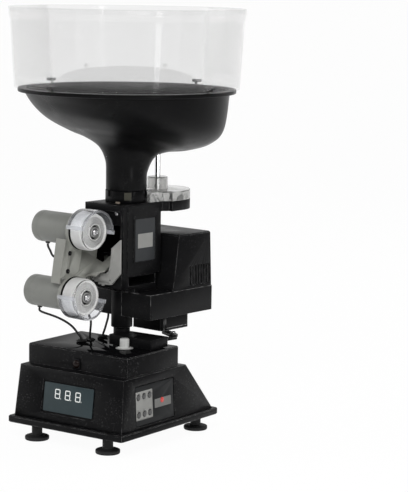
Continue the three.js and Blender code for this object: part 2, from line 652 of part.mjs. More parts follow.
function levellingFoot([x, y]) {
  const { padRadius, padThickness, shoulder, stemRadius, height, studRadius, studLength } = foot;
  return solid(turned([
    [0, 0], [padRadius - shoulder, 0], [padRadius, shoulder], [padRadius, padThickness - shoulder],
    [padRadius - shoulder, padThickness], [stemRadius, padThickness], [stemRadius, height], [studRadius, height],
    [studRadius, height + studLength], [0, height + studLength],
  ], facets.medium).translate(x, y, 0));
}

// The pivot stands on the base but belongs to the turret's axis
const turretPoint = (x, y) => {
  const [c, s] = [Math.cos(stance.turretYaw), Math.sin(stance.turretYaw)];
  return [x * c - y * s, x * s + y * c];
};
const pivotXY = turretPoint(0, -stance.pivotForward);

function pivotBracket() {
  const z = shell.boxTop + fit.gap;
  const [px, py] = pivotXY;
  const postTop = z + bracket.postHeight;
  const blockTop = z + bracket.blockHeight;
  const post = solid(turned([
    [0, z], [bracket.postRadius, z], [bracket.postRadius, postTop], [bracket.pinRadius, postTop],
    [bracket.pinRadius, bracket.pinTop], [0, bracket.pinTop],
  ], facets.medium).translate(px, py, 0));
  const casting = solid(roundedBlock([bracket.blockLeft, bracket.blockRight],
    [bracket.blockFront, bracket.blockRear], [z, blockTop], bracket.cornerRadius));
  const web = solid(block([px, bracket.blockLeft + bracket.postRadius], [py - bracket.postRadius * half, bracket.blockRear],
    [z, blockTop]));
  const { linkPinX, linkPinY, footRadius, footHeight, linkPinRadius, capRadius, capThickness } = bracket;
  const linkTop = z + footHeight + fit.gap + sweep.linkThickness;
  const pin = solid(turned([
    [0, z], [footRadius, z], [footRadius, z + footHeight], [linkPinRadius, z + footHeight],
    [linkPinRadius, linkTop + fit.gap], [capRadius, linkTop + fit.gap], [capRadius, linkTop + fit.gap + capThickness],
    [0, linkTop + fit.gap + capThickness],
  ], facets.small).translate(linkPinX, linkPinY, 0));
  const bridge = solid(block([linkPinX - footRadius, linkPinX + footRadius],
    [bracket.blockRear - footRadius, linkPinY], [z, z + footHeight]));
  return join(post, casting, web, pin, bridge);
}

const base = new THREE.Group();
base.add(
  piece('base_plate', basePlate(), 'black'),
  piece('base_shell', baseShell(), 'gloss'),
  piece('display_panel', displayPanel(), 'teal'),
  piece('control_panel', controlPanel(), 'black'),
  piece('power_button', pushButton(powerPlace, control.powerRadius), 'red'),
  piece('ir_receiver', receiverLens(), 'lens'),
  piece('sweep_knob', sweepKnob(), 'clear'),
  piece('power_jack', powerJack(), 'black'),
  piece('circuit_board', circuitBoard(), 'board'),
  piece('pivot_bracket', pivotBracket(), 'black'),
);
buttonPlaces.forEach((place, i) => base.add(piece(`button_${i + 1}`, pushButton(place, control.buttonRadius), 'black')));
grommetXY.forEach((place, i) => base.add(piece(`grommet_${i + 1}`, cableGrommet(place), 'rubber')));
footPlaces.forEach((place, i) => base.add(piece(`foot_${i + 1}`, levellingFoot(place), 'rubber')));

// Sweep drive: a crank under the turret pulls on a link that is pinned to the base

const shaftXY = [sweep.shaftX, sweep.shaftY];
const crankEnd = [
  sweep.shaftX + sweep.crankReach * Math.cos(sweep.crankBearing),
  sweep.shaftY + sweep.crankReach * Math.sin(sweep.crankBearing),
];

// A flat bar with round ends between two points
function bar([x0, y0], [x1, y1], width, z0, z1) {
  const bearing = Math.atan2(y1 - y0, x1 - x0);
  const shape = new THREE.Shape();
  shape.absarc(x1, y1, width * half, bearing - right, bearing + right);
  shape.absarc(x0, y0, width * half, bearing + right, bearing + 3 * right);
  shape.closePath();
  return prism(shape, z0, z1, facets.corner * 2);
}

function sweepLink() {
  const z = shell.boxTop + fit.gap + bracket.footHeight + fit.gap * half;
  const from = [bracket.linkPinX, bracket.linkPinY];
  const to = turretPoint(...crankEnd);
  const body = solid(bar(from, to, sweep.linkWidth, z, z + sweep.linkThickness));
  const eye = (radius, [x, y]) => (
    solid(cylinder(radius, z - fit.overrun, z + sweep.linkThickness + fit.overrun).translate(x, y, 0)));
  return cut(body, eye(bracket.linkPinRadius + fit.gap, from), eye(sweep.eyeRadius, to));
}

function sweepCrank() {
  const [x, y] = shaftXY;
  const z = sweep.crankTop - sweep.crankThickness;
  const web = solid(bar(shaftXY, crankEnd, sweep.crankWidth, z, sweep.crankTop));
  const shaftTop = sweep.gearboxBottom + sweep.boreDepth - fit.running;
  const shaft = solid(cylinder(sweep.shaftRadius, z, shaftTop).translate(x, y, 0));
  const bolt = solid(cylinder(sweep.boltRadius, z, sweep.crankTop + sweep.boltHeight)
    .translate(crankEnd[0], crankEnd[1], 0));
  return join(web, shaft, bolt);
}

function sweepGearbox() {
  const { gearboxLeft: x0, gearboxRight: x1, gearboxFront: y0, gearboxRear: y1, chamfer } = sweep;
  const plan = outline([
    [x0, y0], [x1 - chamfer, y0], [x1, y0 + chamfer], [x1, y1 - chamfer], [x1 - chamfer, y1], [x0, y1],
  ]);
  const top = tray.top - tray.deck - fit.gap;
  const body = solid(prism(plan, sweep.gearboxBottom, top));
  const inset = chamfer + sweep.panelInset * half;
  const panel = solid(block([x1 - fit.overrun, x1 + sweep.panelProud], [y0 + inset, y1 - inset],
    [sweep.panelBottom, sweep.panelTop]));
  const bore = solid(cylinder(sweep.shaftRadius + fit.running, sweep.gearboxBottom - fit.overrun,
    sweep.gearboxBottom + sweep.boreDepth).translate(sweep.shaftX, sweep.shaftY, 0));
  return cut(join(body, panel), bore);
}

// Turret

function turretTray() {
  const { halfX, front: y0, rear: y1, bottom, top, wall, deck } = tray;
  const outer = solid(stacked([
    { halfX, y0, y1, z: bottom },
    { halfX, y0, y1, z: top - fit.running },
    { halfX, y0, y1, z: top, inset: fit.running },
  ], tray.cornerRadius));
  const inner = solid(stacked([
    { halfX, y0, y1, z: bottom - fit.overrun, inset: wall },
    { halfX, y0, y1, z: top - deck, inset: wall },
  ], tray.cornerRadius + wall));
  const y = -stance.pivotForward;
  const boss = solid(cylinder(tray.bossRadius, tray.bossBottom, top - fit.gap, facets.medium).translate(0, y, 0));
  const bore = solid(cylinder(bracket.pinRadius + fit.running, bottom - tray.ribDrop - fit.overrun, tray.boreTop)
    .translate(0, y, 0));
  const [holeX, holeY] = feedHole;
  const hole = solid(cylinder(feedLead.deckHole, top - deck - fit.overrun, top + fit.overrun)
    .translate(holeX, holeY, 0));
  return cut(join(cut(outer, inner), boss), bore, hole);
}

// A point of the part's frame in the turret's frame
const inTurret = (x, y) => {
  const [c, s] = [Math.cos(stance.turretYaw), Math.sin(stance.turretYaw)];
  return [x * c + y * s, y * c - x * s];
};
const feedHole = inTurret(feedLead.topX, feedLead.topY);

const gearReach = train.module * (train.gearTeeth + train.pinionTeeth) * half;
const pinionXY = [
  gearReach * Math.cos(train.pinionBearing),
  train.shaftY + gearReach * Math.sin(train.pinionBearing),
];

function rearCoverSkin(inset, bottom, drop) {
  const c = rearCover;
  return stacked([
    { halfX: c.baseHalfX, y0: c.baseFront, y1: c.rear, z: bottom, inset },
    { halfX: c.flareHalfX, y0: c.flareFront, y1: c.rear, z: c.flareZ, inset },
    { halfX: c.topHalfX, y0: c.topFront, y1: c.topRear, z: c.topZ - c.topChamfer - drop, inset },
    { halfX: c.topHalfX, y0: c.topFront, y1: c.topRear, z: c.topZ - drop, inset: inset + c.topChamfer },
  ], c.cornerRadius);
}

function rearCoverShell() {
  const bottom = tray.top + fit.gap;
  const outer = solid(rearCoverSkin(0, bottom, 0));
  const inner = solid(rearCoverSkin(rearCover.wall, bottom - fit.overrun, rearCover.wall));
  const first = rearCover.slotCentreY - rearCover.slotPitch * (rearCover.slots - 1) * half;
  const slots = Array.from({ length: rearCover.slots }, (_, k) => {
    const y = first + k * rearCover.slotPitch;
    const w = rearCover.slotWidth * half;
    return solid(block([-tray.halfX - fit.overrun, tray.halfX + fit.overrun], [y - w, y + w],
      [rearCover.slotBottom, rearCover.slotTop]));
  });
  const shaftHole = solid(cylinder(train.pinionShaftRadius + 2 * fit.running, rearCover.topZ - through,
    rearCover.topZ + fit.overrun).translate(pinionXY[0], pinionXY[1], 0));
  return cut(outer, inner, ...slots, shaftHole);
}

function mainHousing() {
  const h = housing;
  const upper = solid(stackedBox([h.left, h.right], [h.front, h.rear], [h.waist, h.top], h.edge));
  const lower = solid(block([h.left, h.right], [h.front, h.lowerRear], [h.base, h.waist + h.edge * 2]));
  const feet = solid(block([h.left, h.right], [h.footFront, h.lowerRear], [tray.top + fit.gap, h.footTop]));
  const [x0, x1] = [h.left + h.wall, h.right - h.wall];
  const inside = (y, z) => solid(block([x0, x1], y, z));
  const floorBottom = h.chamberFloor - h.floorThickness;
  const chamber = inside([h.front - fit.overrun, h.rear - h.wall], [h.chamberFloor, h.top - h.roof]);
  const aheadOfLip = inside([h.front + h.wall, h.lipY], [floorBottom - fit.overrun, h.chamberFloor + fit.overrun]);
  const window = inside([h.front - fit.overrun, h.lipY], [h.windowBottom, h.chamberFloor + fit.overrun]);
  const cavity = inside([h.front + h.wall, h.lowerRear - h.wall], [h.base + h.wall, floorBottom]);
  const frontWall = solid(block([x0 - fit.overrun * half, x1 + fit.overrun * half],
    [h.frontWallY, h.frontWallY + h.wall], [h.windowTop, h.top - h.roof + fit.overrun]));
  const slotHalf = h.screwSlotWidth * half;
  const screwSlot = solid(block([h.screwSlotX - slotHalf, h.screwSlotX + slotHalf],
    [h.frontWallY - fit.overrun, h.frontWallY + h.wall + fit.overrun], [h.screwSlotBottom, h.screwSlotTop]));
  const sideOpening = solid(block([x1 - fit.overrun, h.right + fit.overrun],
    [h.front + h.sideStrip, h.lowerRear - h.wall], [h.base + h.wall, h.sideOpeningTop]));
  const notch = solid(block([h.notchLeft, h.notchRight], [h.front - fit.overrun, h.front + h.wall + fit.overrun],
    [h.notchBottom, h.windowBottom + fit.overrun]));
  const bore = solid(cylinder(h.ballBore, h.top - h.roof - fit.overrun, h.top + fit.overrun, facets.wheel));
  const slotX = feeder.paddleWidth * half + feeder.slotMargin;
  const reach = feeder.paddleRadius + feeder.slotMargin;
  const feedSlot = solid(block([-slotX, slotX], [h.lipY - fit.overrun, feeder.y + reach],
    [floorBottom - fit.overrun, h.chamberFloor + fit.overrun]));
  const bearing = solid(alongX(cylinder(feeder.shaftRadius + fit.running, x1 - fit.overrun, h.right + fit.overrun))
    .translate(0, feeder.y, feeder.z));
  const shellBody = cut(join(upper, lower, feet), chamber, aheadOfLip, window, cavity, sideOpening, notch);
  return cut(join(shellBody, frontWall), screwSlot, bore, feedSlot, bearing);
}

// A box with its upright edges rounded and its own X limits, as stacked() gives only boxes centred on X
function stackedBox([x0, x1], [y0, y1], [z0, z1], radius) {
  const centre = (x0 + x1) * half;
  const halfX = (x1 - x0) * half;
  return stacked([{ halfX, y0, y1, z: z0 }, { halfX, y0, y1, z: z1 }], radius).translate(centre, 0, 0);
}

function sideCoverPanel() {
  const c = sideCover;
  const x = housing.right + fit.gap;
  const face = x + c.thickness;
  // Drawn flat with across = Y and up = Z, then stood up so that it faces +X
  const stand = (geometry, from) => solid(geometry.rotateX(right).rotateZ(right).translate(from, 0, 0));
  const panel = stand(roundedBlock([c.front, c.rear], [c.bottom, c.top], [0, c.thickness], c.cornerRadius), x);
  const ridge = (y, z0, z1) => stand(roundedBlock([y, y + c.ridgeWidth], [z0, z1],
    [0, c.thickness + c.ridgeProud], fit.gap), x);
  const recess = stand(roundedBlock([c.labelFront, c.labelRear], [c.labelBottom, c.labelTop],
    [-c.labelDepth, fit.overrun], c.cornerRadius), face);
  const edge = c.cornerRadius;
  return cut(join(panel, ridge(c.firstRidge, c.bottom + edge, c.top - edge),
    ridge(c.secondRidge, c.secondRidgeBottom, c.secondRidgeTop)), recess);
}

// Feed wheel and its drive, under the ball chamber's floor

const gearboxLeft = housing.left + housing.wall + fit.gap;
const gearboxRight = gearboxLeft + feeder.gearboxWidth;

function feedGearmotor() {
  const f = feeder;
  const box = solid(block([gearboxLeft, gearboxRight], [f.y - f.gearboxAhead, f.y + f.gearboxBehind],
    [f.z - f.gearboxBelow, f.z + f.gearboxAbove]));
  const can = solid(cylinder(f.motorRadius, -fit.overrun, f.motorLength).rotateX(right)
    .translate((gearboxLeft + gearboxRight) * half, f.y - f.gearboxAhead, f.z - f.motorDrop));
  const bore = solid(alongX(cylinder(f.shaftRadius + fit.running, gearboxRight - f.shaftDepth,
    gearboxRight + fit.overrun)).translate(0, f.y, f.z));
  return cut(join(box, can), bore);
}

function feedWheel() {
  const f = feeder;
  const w = f.paddleWidth * half;
  const left = gearboxRight - f.shaftDepth + f.endFloat;
  const shaft = solid(alongX(cylinder(f.shaftRadius, left, housing.right - f.endFloat)));
  const hub = solid(alongX(cylinder(f.hubRadius, -w, w)));
  const t = f.paddleThickness * half;
  const paddles = Array.from({ length: f.paddles }, (_, k) => (
    solid(block([-w, w], [0, f.paddleRadius], [-t, t]).rotateX((fullTurn * k) / f.paddles + right * half))));
  return join(shaft, hub, ...paddles).translate([0, f.y, f.z]);
}

// Hopper

function hopperProfile(rearShare) {
  const blend = (key) => rearOutline[key] * rearShare + frontOutline[key] * (1 - rearShare);
  const stations = ['throat', 'bend', 'slope', 'mid', 'outer', 'rim'];
  const flangeBottom = hopper.flangeTop - hopper.flangeThickness;
  const stops = [
    new THREE.Vector2(hopper.neckRadius, (blend('throatZ') + hopper.neckStep) * half),
    ...stations.map((name) => new THREE.Vector2(blend(`${name}Radius`), blend(`${name}Z`))),
    new THREE.Vector2(hopper.lipRadius, flangeBottom),
  ];
  const outer = new THREE.SplineCurve(stops).getPoints(facets.perStation * (stops.length - 1));
  const inner = outer.map((point, k) => {
    const before = outer[Math.max(k - 1, 0)];
    const after = outer[Math.min(k + 1, outer.length - 1)];
    const along = after.clone().sub(before).normalize();
    return [point.x - along.y * hopper.wall, point.y + along.x * hopper.wall];
  });
  const foot = housing.top + fit.gap;
  const innerNeck = hopper.neckFootRadius - hopper.wall;
  return [
    [innerNeck, foot], [hopper.neckFootRadius, foot], [hopper.neckFootRadius, hopper.neckStep],
    [hopper.neckRadius, hopper.neckStep], ...outer.map((point) => [point.x, point.y]).slice(0, -1),
    [hopper.lipRadius, flangeBottom], [hopper.flangeRadius, flangeBottom],
    [hopper.flangeRadius, hopper.flangeTop], [hopper.mouthRadius, hopper.flangeTop],
    ...inner.slice(1, -1).reverse(), [innerNeck, inner[1][1]],
  ];
}

function hopperBowl() {
  const vertices = [];
  const index = [];
  const turns = facets.large;
  const rings = Array.from({ length: turns }, (_, k) => {
    const angle = (fullTurn * k) / turns;
    return hopperProfile((1 + Math.cos(angle)) * half).map(([r, z]) => [r * Math.sin(angle), r * Math.cos(angle), z]);
  });
  const count = rings[0].length;
  rings.forEach((points) => points.forEach((point) => vertices.push(...point)));
  for (let k = 0; k < turns; k += 1) {
    for (let j = 0; j < count; j += 1) {
      const a = k * count + j;
      const b = k * count + ((j + 1) % count);
      const next = ((k + 1) % turns) * count;
      const c = next + ((j + 1) % count);
      const d = next + j;
      index.push(a, b, c, a, c, d);
    }
  }
  const geometry = new THREE.BufferGeometry();
  geometry.setAttribute('position', new THREE.Float32BufferAttribute(vertices, 3));
  geometry.setIndex(index);
  const shaftHole = solid(cylinder(hopper.shaftHole, cupTop, hopper.flangeTop).translate(0, train.shaftY, 0));
  const pegs = clipAngles.map((angle) => solid(cylinder(clip.pegRadius + fit.gap, hopper.flangeTop - 2 * clip.pegLength,
    hopper.flangeTop + fit.overrun).translate(clip.pegAt * Math.cos(angle), clip.pegAt * Math.sin(angle), 0)));
  return cut(solid(geometry), shaftHole, ...pegs);
}

const clipAngles = Array.from({ length: clip.count }, (_, k) => (fullTurn * k) / clip.count);
const coverBottom = housing.top + fit.gap;
const coverTop = coverBottom + gearCover.height;
const cupTop = coverTop + fit.gap + cup.height;
const collarFoot = hopper.flangeTop + fit.gap;

function neckSleeve() {
  const z = housing.top + fit.gap;
  const inner = sleeve.outerRadius - sleeve.wall;
  const body = solid(ring(inner, sleeve.outerRadius, z, z + sleeve.height, facets.wheel));
  const w = sleeve.notchWidth * half;
  const notches = Array.from({ length: sleeve.notches }, (_, k) => {
    const angle = sleeve.notchTurn + (fullTurn * k) / sleeve.notches;
    const notch = block([0, sleeve.outerRadius + fit.overrun], [-w, w],
      [z + sleeve.height - sleeve.notchDepth, z + sleeve.height + fit.overrun]);
    return solid(notch.rotateZ(angle));
  });
  return cut(body, ...notches);
}

function clearCollar() {
  const { footInner, footHeight, bottomRadius, wall, flareZ, flareRadius, lipZ, lipRadius, top } = collar;
  const z = collarFoot;
  const body = solid(turned([
    [footInner, z], [bottomRadius, z], [flareRadius, flareZ], [lipRadius, lipZ], [lipRadius, top],
    [lipRadius - wall, top], [lipRadius - wall, lipZ + wall * half], [flareRadius - wall, flareZ + wall * half],
    [bottomRadius - wall, z + footHeight], [footInner, z + footHeight], [footInner, z],
  ], facets.large));
  const pegs = clipAngles.map((angle) => solid(cylinder(clip.pegRadius + fit.gap, z - fit.overrun,
    z + footHeight + fit.overrun).translate(clip.pegAt * Math.cos(angle), clip.pegAt * Math.sin(angle), 0)));
  return cut(body, ...pegs);
}

function collarClip(angle) {
  const z = collarFoot + collar.footHeight + fit.gap;
  const w = clip.width * half;
  const body = solid(roundedBlock([clip.inner, clip.outer], [-w, w], [z, z + clip.height], clip.cornerRadius)
    .rotateZ(angle));
  const peg = solid(cylinder(clip.pegRadius, z - clip.pegLength, z + clip.height * half)
    .translate(clip.pegAt * Math.cos(angle), clip.pegAt * Math.sin(angle), 0));
  return join(body, peg);
}

// Stirrer drive

function trayPlan(inset, z0, z1, front = gearTray.neckFront) {
  const g = gearTray;
  const r = g.radius - inset;
  const neckX = g.neckHalfX - inset;
  const plan = join(
    solid(cylinder(r, z0, z1, facets.wheel).translate(0, g.centreY, 0)),
    solid(block([-r, r], [g.frontY + inset, g.centreY], [z0, z1])),
    solid(block([-neckX, neckX], [front + inset, g.frontY + 2 * inset + g.wall], [z0, z1])),
  );
  return cut(plan, solid(block([-g.radius, g.radius], [-g.radius, front + inset], [z0 - g.wall, z1 + g.wall])));
}

function gearTrayBody() {
  const g = gearTray;
  const body = trayPlan(0, g.bottom, g.top);
  const pocket = trayPlan(g.wall, g.bottom + g.floor, g.top + fit.overrun);
  const hole = (radius, [x, y]) => (
    solid(cylinder(radius, g.bottom - fit.overrun, g.bottom + g.floor + fit.overrun).translate(x, y, 0)));
  return cut(body, pocket, hole(train.pinionShaftRadius + fit.running, pinionXY),
    hole(train.pinionShaftRadius + fit.running, [0, train.shaftY]));
}

function gearCoverBody() {
  const front = gearCover.front;
  const neckFront = gearTray.neckFront;
  const top = coverTop - gearCover.wall;
  const outer = trayPlan(0, coverBottom, coverTop, front);
  const inner = trayPlan(gearCover.wall, coverBottom - fit.overrun, top, front);
  const clearance = sleeve.outerRadius + gearCover.sleeveClearance;
  const round = solid(cylinder(clearance, coverBottom - fit.overrun, coverTop + fit.overrun, facets.wheel));
  const skin = solid(ring(clearance, clearance + gearCover.wall, coverBottom, coverTop, facets.wheel));
  const ahead = solid(block([-neckFront, neckFront], [front, neckFront], [coverBottom, coverTop]));
  const rounded = solid(cylinder(gearCover.cupBore, top - fit.overrun, coverTop + fit.overrun)
    .translate(0, train.shaftY, 0));
  return cut(join(cut(outer, inner), skin.intersect(ahead)), round, rounded);
}

function shaftCup() {
  const z = coverTop + fit.gap;
  const top = z + cup.height;
  const bore = stirrer.shaftRadius + 2 * fit.running;
  const inner = cup.radius - cup.wall;
  return solid(turned([
    [inner, z], [cup.radius, z], [cup.radius, top - cup.wall * half], [cup.radius - cup.wall * half, top],
    [bore, top], [bore, top - cup.wall], [inner, top - cup.wall], [inner, z],
  ], facets.medium).translate(0, train.shaftY, 0));
}

// A straight-flanked gear: each tooth is a trapezium on the root circle
function gearShape(teeth) {
  const pitch = (train.module * teeth) * half;
  const root = pitch - train.module * train.dedendumShare;
  const tip = pitch + train.module * train.addendumShare;
  const step = fullTurn / teeth;
  const shape = new THREE.Shape();
  for (let k = 0; k < teeth; k += 1) {
    const middle = k * step;
    const corners = [
      [root, middle - step * train.rootShare], [tip, middle - step * train.tipShare],
      [tip, middle + step * train.tipShare], [root, middle + step * train.rootShare],
    ];
    corners.forEach(([radius, angle], c) => {
      const [x, y] = [radius * Math.cos(angle), radius * Math.sin(angle)];
      if (k === 0 && c === 0) shape.moveTo(x, y);
      else shape.lineTo(x, y);
    });
  }
  shape.closePath();
  return shape;
}

// The pinion points a tooth space at the wheel's tooth on the line of centres
const gearTurn = train.pinionBearing;
const pinionTurn = train.pinionBearing + 2 * right + (2 * right) / train.pinionTeeth;

function stirrerGear() {
  const { gearZ, faceWidth, webThickness, rimWidth, gearTeeth, hubRadius, module } = train;
  const body = solid(prism(gearShape(gearTeeth), gearZ, gearZ + faceWidth).rotateZ(gearTurn));
  const rim = module * gearTeeth * half - module - rimWidth;
  const sink = solid(ring(hubRadius, rim, gearZ + webThickness, gearZ + faceWidth + fit.overrun, facets.medium));
  const bore = solid(cylinder(stirrer.shaftRadius + fit.gap, gearZ - fit.overrun, gearZ + faceWidth + fit.overrun));
  return cut(body, sink, bore).translate([0, train.shaftY, 0]);
}

function motorPinion() {
  const { gearZ, faceWidth, pinionTeeth, pinionShaftRadius } = train;
  const teeth = solid(prism(gearShape(pinionTeeth), gearZ, gearZ + faceWidth).rotateZ(pinionTurn));
  const bottom = motor.top + motor.neckHeight - motor.shaftDepth + fit.running;
  const shaft = solid(cylinder(pinionShaftRadius, bottom, gearZ + faceWidth * half));
  return join(teeth, shaft).translate([pinionXY[0], pinionXY[1], 0]);
}

function stirrerMotor() {
  const z = tray.top + fit.gap;
  const { radius, top, neckRadius, neckHeight, flangeRadius, flangeThickness, shaftDepth } = motor;
  const bore = train.pinionShaftRadius + fit.running;
  const neckTop = top + neckHeight;
  return solid(turned([
    [0, z], [flangeRadius, z], [flangeRadius, z + flangeThickness], [radius, z + flangeThickness],
    [radius, top], [neckRadius, top], [neckRadius, neckTop], [bore, neckTop], [bore, neckTop - shaftDepth],
    [0, neckTop - shaftDepth],
  ], facets.medium).translate(pinionXY[0], pinionXY[1], 0));
}

function stirrerShaft() {
  const s = stirrer;
  const floor = gearTray.bottom + gearTray.floor + fit.running;
  const neck = train.pinionShaftRadius;
  const collarZ = coverTop + fit.overrun;
  const body = solid(turned([
    [0, gearTray.bottom], [neck, gearTray.bottom], [neck, floor], [s.shaftRadius, floor],
    [s.shaftRadius, collarZ], [s.collarRadius, collarZ], [s.collarRadius, collarZ + s.collarHeight],
    [s.shaftRadius, collarZ + s.collarHeight], [s.shaftRadius, s.armZ - s.hubHeight * half],
    [s.hubRadius, s.armZ - s.hubHeight * half], [s.hubRadius, s.armZ + s.hubHeight * half],
    [0, s.armZ + s.hubHeight * half],
  ], facets.small));
  const reach = s.armReach;
  const curve = [-1, -half, 0, half, 1].map((share) => (
    new THREE.Vector3(reach * share, 0, s.armZ + s.tipRise * share * share)));
  const arm = solid(tube(curve, s.armRadius, facets.small * half, facets.small, half));
  const tips = [-1, 1].map((side) => (
    solid(new THREE.SphereGeometry(s.tipRadius, facets.small, facets.small * half)
      .translate(side * reach, 0, s.armZ + s.tipRise))));
  return join(body, arm, ...tips).translate([0, train.shaftY, 0]);
}

// Hinge bracket on the housing's front, and the pin the head tilts on

function hingeBracket() {
  const c = cheek;
  const rightX = housing.right + fit.gap + sideCover.thickness;
  const leftEdge = [[c.topLeftX, c.topLeft], [c.midX, c.midZ], [c.kneeX, c.kneeZ], [c.stepX, c.footTopZ]];
  const shape = outline([
    [rightX, c.topRight], ...leftEdge, [c.toeX, c.toeZ], [c.footLeftX, c.footSideZ], [c.heelX, c.footBottomZ],
    [c.footRightX, c.footRightZ], [rightX, c.rightBottomZ],
  ]);
  // Drawn in X and Z, then stood up with its thickness towards the front
  const stood = (drawn, front, back) => solid(prism(drawn, 0, back - front).rotateX(right).translate(0, back, 0));
  const sheet = stood(shape, c.y, c.y + c.thickness);
  // A raised rim follows the edge beside the ball's way
  const rimShape = outline([...leftEdge, ...leftEdge.map(([x, z]) => [x + c.rim, z]).reverse()]);
  const rim = stood(rimShape, c.y - c.rimProud, c.y + fit.gap);
  const pad = solid(block([c.padLeft, housing.right], [c.y + fit.gap, c.standY], [c.padBottom, c.padTop]));
  const barrel = solid(alongX(cylinder(c.barrelRadius, c.barrelLeft, c.barrelRight)).translate(0, c.hingeY, c.hingeZ));
  const behind = solid(block([c.barrelLeft - fit.overrun, c.barrelRight + fit.overrun],
    [c.standY, c.hingeY + 2 * c.barrelRadius],
    [c.hingeZ - 2 * c.barrelRadius, c.hingeZ + 2 * c.barrelRadius]));
  const bore = solid(alongX(cylinder(c.pinRadius + fit.gap, c.barrelLeft - fit.overrun, c.barrelRight + fit.overrun))
    .translate(0, c.hingeY, c.hingeZ));
  const screw = solid(cylinder(c.screwRadius, c.screwZ, c.screwZ + c.screwReach).translate(c.screwX, c.hingeY, 0));
  return cut(join(sheet, rim, pad, cut(barrel, behind), screw), bore);
}

function tiltPin() {
  const c = cheek;
  return solid(alongX(cylinder(c.pinRadius, c.barrelLeft - c.pinOverhang, c.barrelRight + fit.running))
    .translate(0, c.hingeY, c.hingeZ));
}

// Head, drawn about the point where the ball passes between the wheels

const turnHead = (y, z) => {
  const [c, s] = [Math.cos(stance.headTilt), Math.sin(stance.headTilt)];
  return [head.nipY + y * c - z * s, head.nipZ + y * s + z * c];
};
const intoHead = (y, z) => {
  const [c, s] = [Math.cos(stance.headTilt), Math.sin(stance.headTilt)];
  const [dy, dz] = [y - head.nipY, z - head.nipZ];
  return [dy * c + dz * s, dz * c - dy * s];
};

// Shapes drawn in Y and Z become sheets that stand across X
const across = (shape, left, rightX) => solid(prism(shape, left, rightX).rotateX(right).rotateZ(right));

function headBracket() {
  const h = head;
  const [x0, x1] = [h.plateFace - h.plateThickness, h.plateFace];
  const [hingeY, hingeZ] = intoHead(cheek.hingeY, cheek.hingeZ);
  const sheet = across(outline([
    [h.frontY, h.bottomZ], [h.riseY, h.bottomZ], [h.lugTopY, h.lugTopZ], [h.lugSideY, hingeZ], [h.heelY, h.heelZ],
    [h.rearY, h.rearTopZ], [h.midY, h.rearTopZ], [h.frontY, h.halfZ],
  ]), x0, x1);
  const lug = solid(alongX(cylinder(h.lugRadius, x0, x1, facets.medium)).translate(0, hingeY, hingeZ));
  const neck = solid(block([x0, x1], [-h.neckHalfY, h.neckHalfY], [-h.wheelOffset, h.wheelOffset]));
  const discs = [-1, 1].map((side) => (
    solid(alongX(cylinder(h.discRadius, x0, h.discFace, facets.wheel)).translate(0, 0, side * h.wheelOffset))));
  const flange = solid(block([x1 - h.flangeWidth, x1], [h.frontY, h.frontY + h.flangeThickness],
    [-h.flangeHalfZ, h.flangeHalfZ]));
  const rib = solid(block([x0, x1 + h.ribProud], [h.ribY, h.ribY + h.ribWidth], [h.ribBottom, h.ribTop]));
  const screws = [-1, 1].map((side) => (
    solid(alongX(cylinder(h.screwRadius, x0 + fit.overrun, x1 + h.screwHeight, facets.small))
      .translate(0, h.screwY, side * h.screwZ))));
  const sockets = [-1, 1].map((side) => (
    solid(alongX(cylinder(h.screwSocket, x1 + h.screwHeight - h.socketDepth, x1 + fit.overrun, facets.small))
      .translate(0, h.screwY, side * h.screwZ))));
  const noses = [-1, 1].map((side) => (
    solid(alongX(cylinder(drive.noseRadius + fit.gap, x0 - fit.overrun, h.discFace + fit.overrun, facets.medium))
      .translate(0, 0, side * h.wheelOffset))));
  const wheelRoom = [-1, 1].map((side) => (
    solid(alongX(cylinder(wheel.radius + 2 * fit.running, h.discFace, guard.front, facets.wheel))
      .translate(0, 0, side * h.wheelOffset))));
  const pinHole = solid(alongX(cylinder(cheek.pinRadius + fit.running, x0 - fit.overrun, x1 + fit.overrun))
    .translate(0, hingeY, hingeZ));
  return cut(join(sheet, lug, neck, ...discs, flange, rib, ...screws, cut(ballChute(), ...wheelRoom)), ...sockets, ...noses,
    pinHole);
}

// A sloping strip leaves the plate and turns into the flat floor that the ball rolls down
function ballChute() {
  const c = chute;
  const wall = head.plateFace - fit.overrun * half;
  const strip = outline([
    [wall, c.wallFoot], [head.plateFace, c.wallFoot], [c.crease, c.floor],
    [c.crease, c.floor - c.thickness], [wall, c.wallFoot - c.thickness],
  ]);
  const plan = outline([
    [c.crease - fit.gap, c.floorStart], [c.noseRight, c.floorStart], [c.noseRight, c.notchStart],
    [c.floorRight, c.notchEnd], [c.floorRight, c.end], [c.crease - fit.gap, c.end],
  ]);
  // The section lies in X and up; its length becomes the way back, then the whole is tipped up
  const band = prism(strip, c.lip, c.stripEnd).rotateX(right).scale(1, -1, 1);
  const floor = prism(plan, c.floor - c.thickness, c.floor);
  return join(solid(band.rotateX(c.slope)), solid(floor.rotateX(c.slope)));
}

function wheelTyre(side) {
  const { radius, tyreDepth, back, front, edge } = wheel;
  const inner = radius - tyreDepth;
  return solid(alongX(turned([
    [inner, back], [radius - edge, back], [radius, back + edge], [radius, front - edge],
    [radius - edge * half, front - edge * half * half], [radius - edge, front], [inner, front], [inner, back],
  ], facets.wheel)).translate(0, 0, side * head.wheelOffset));
}

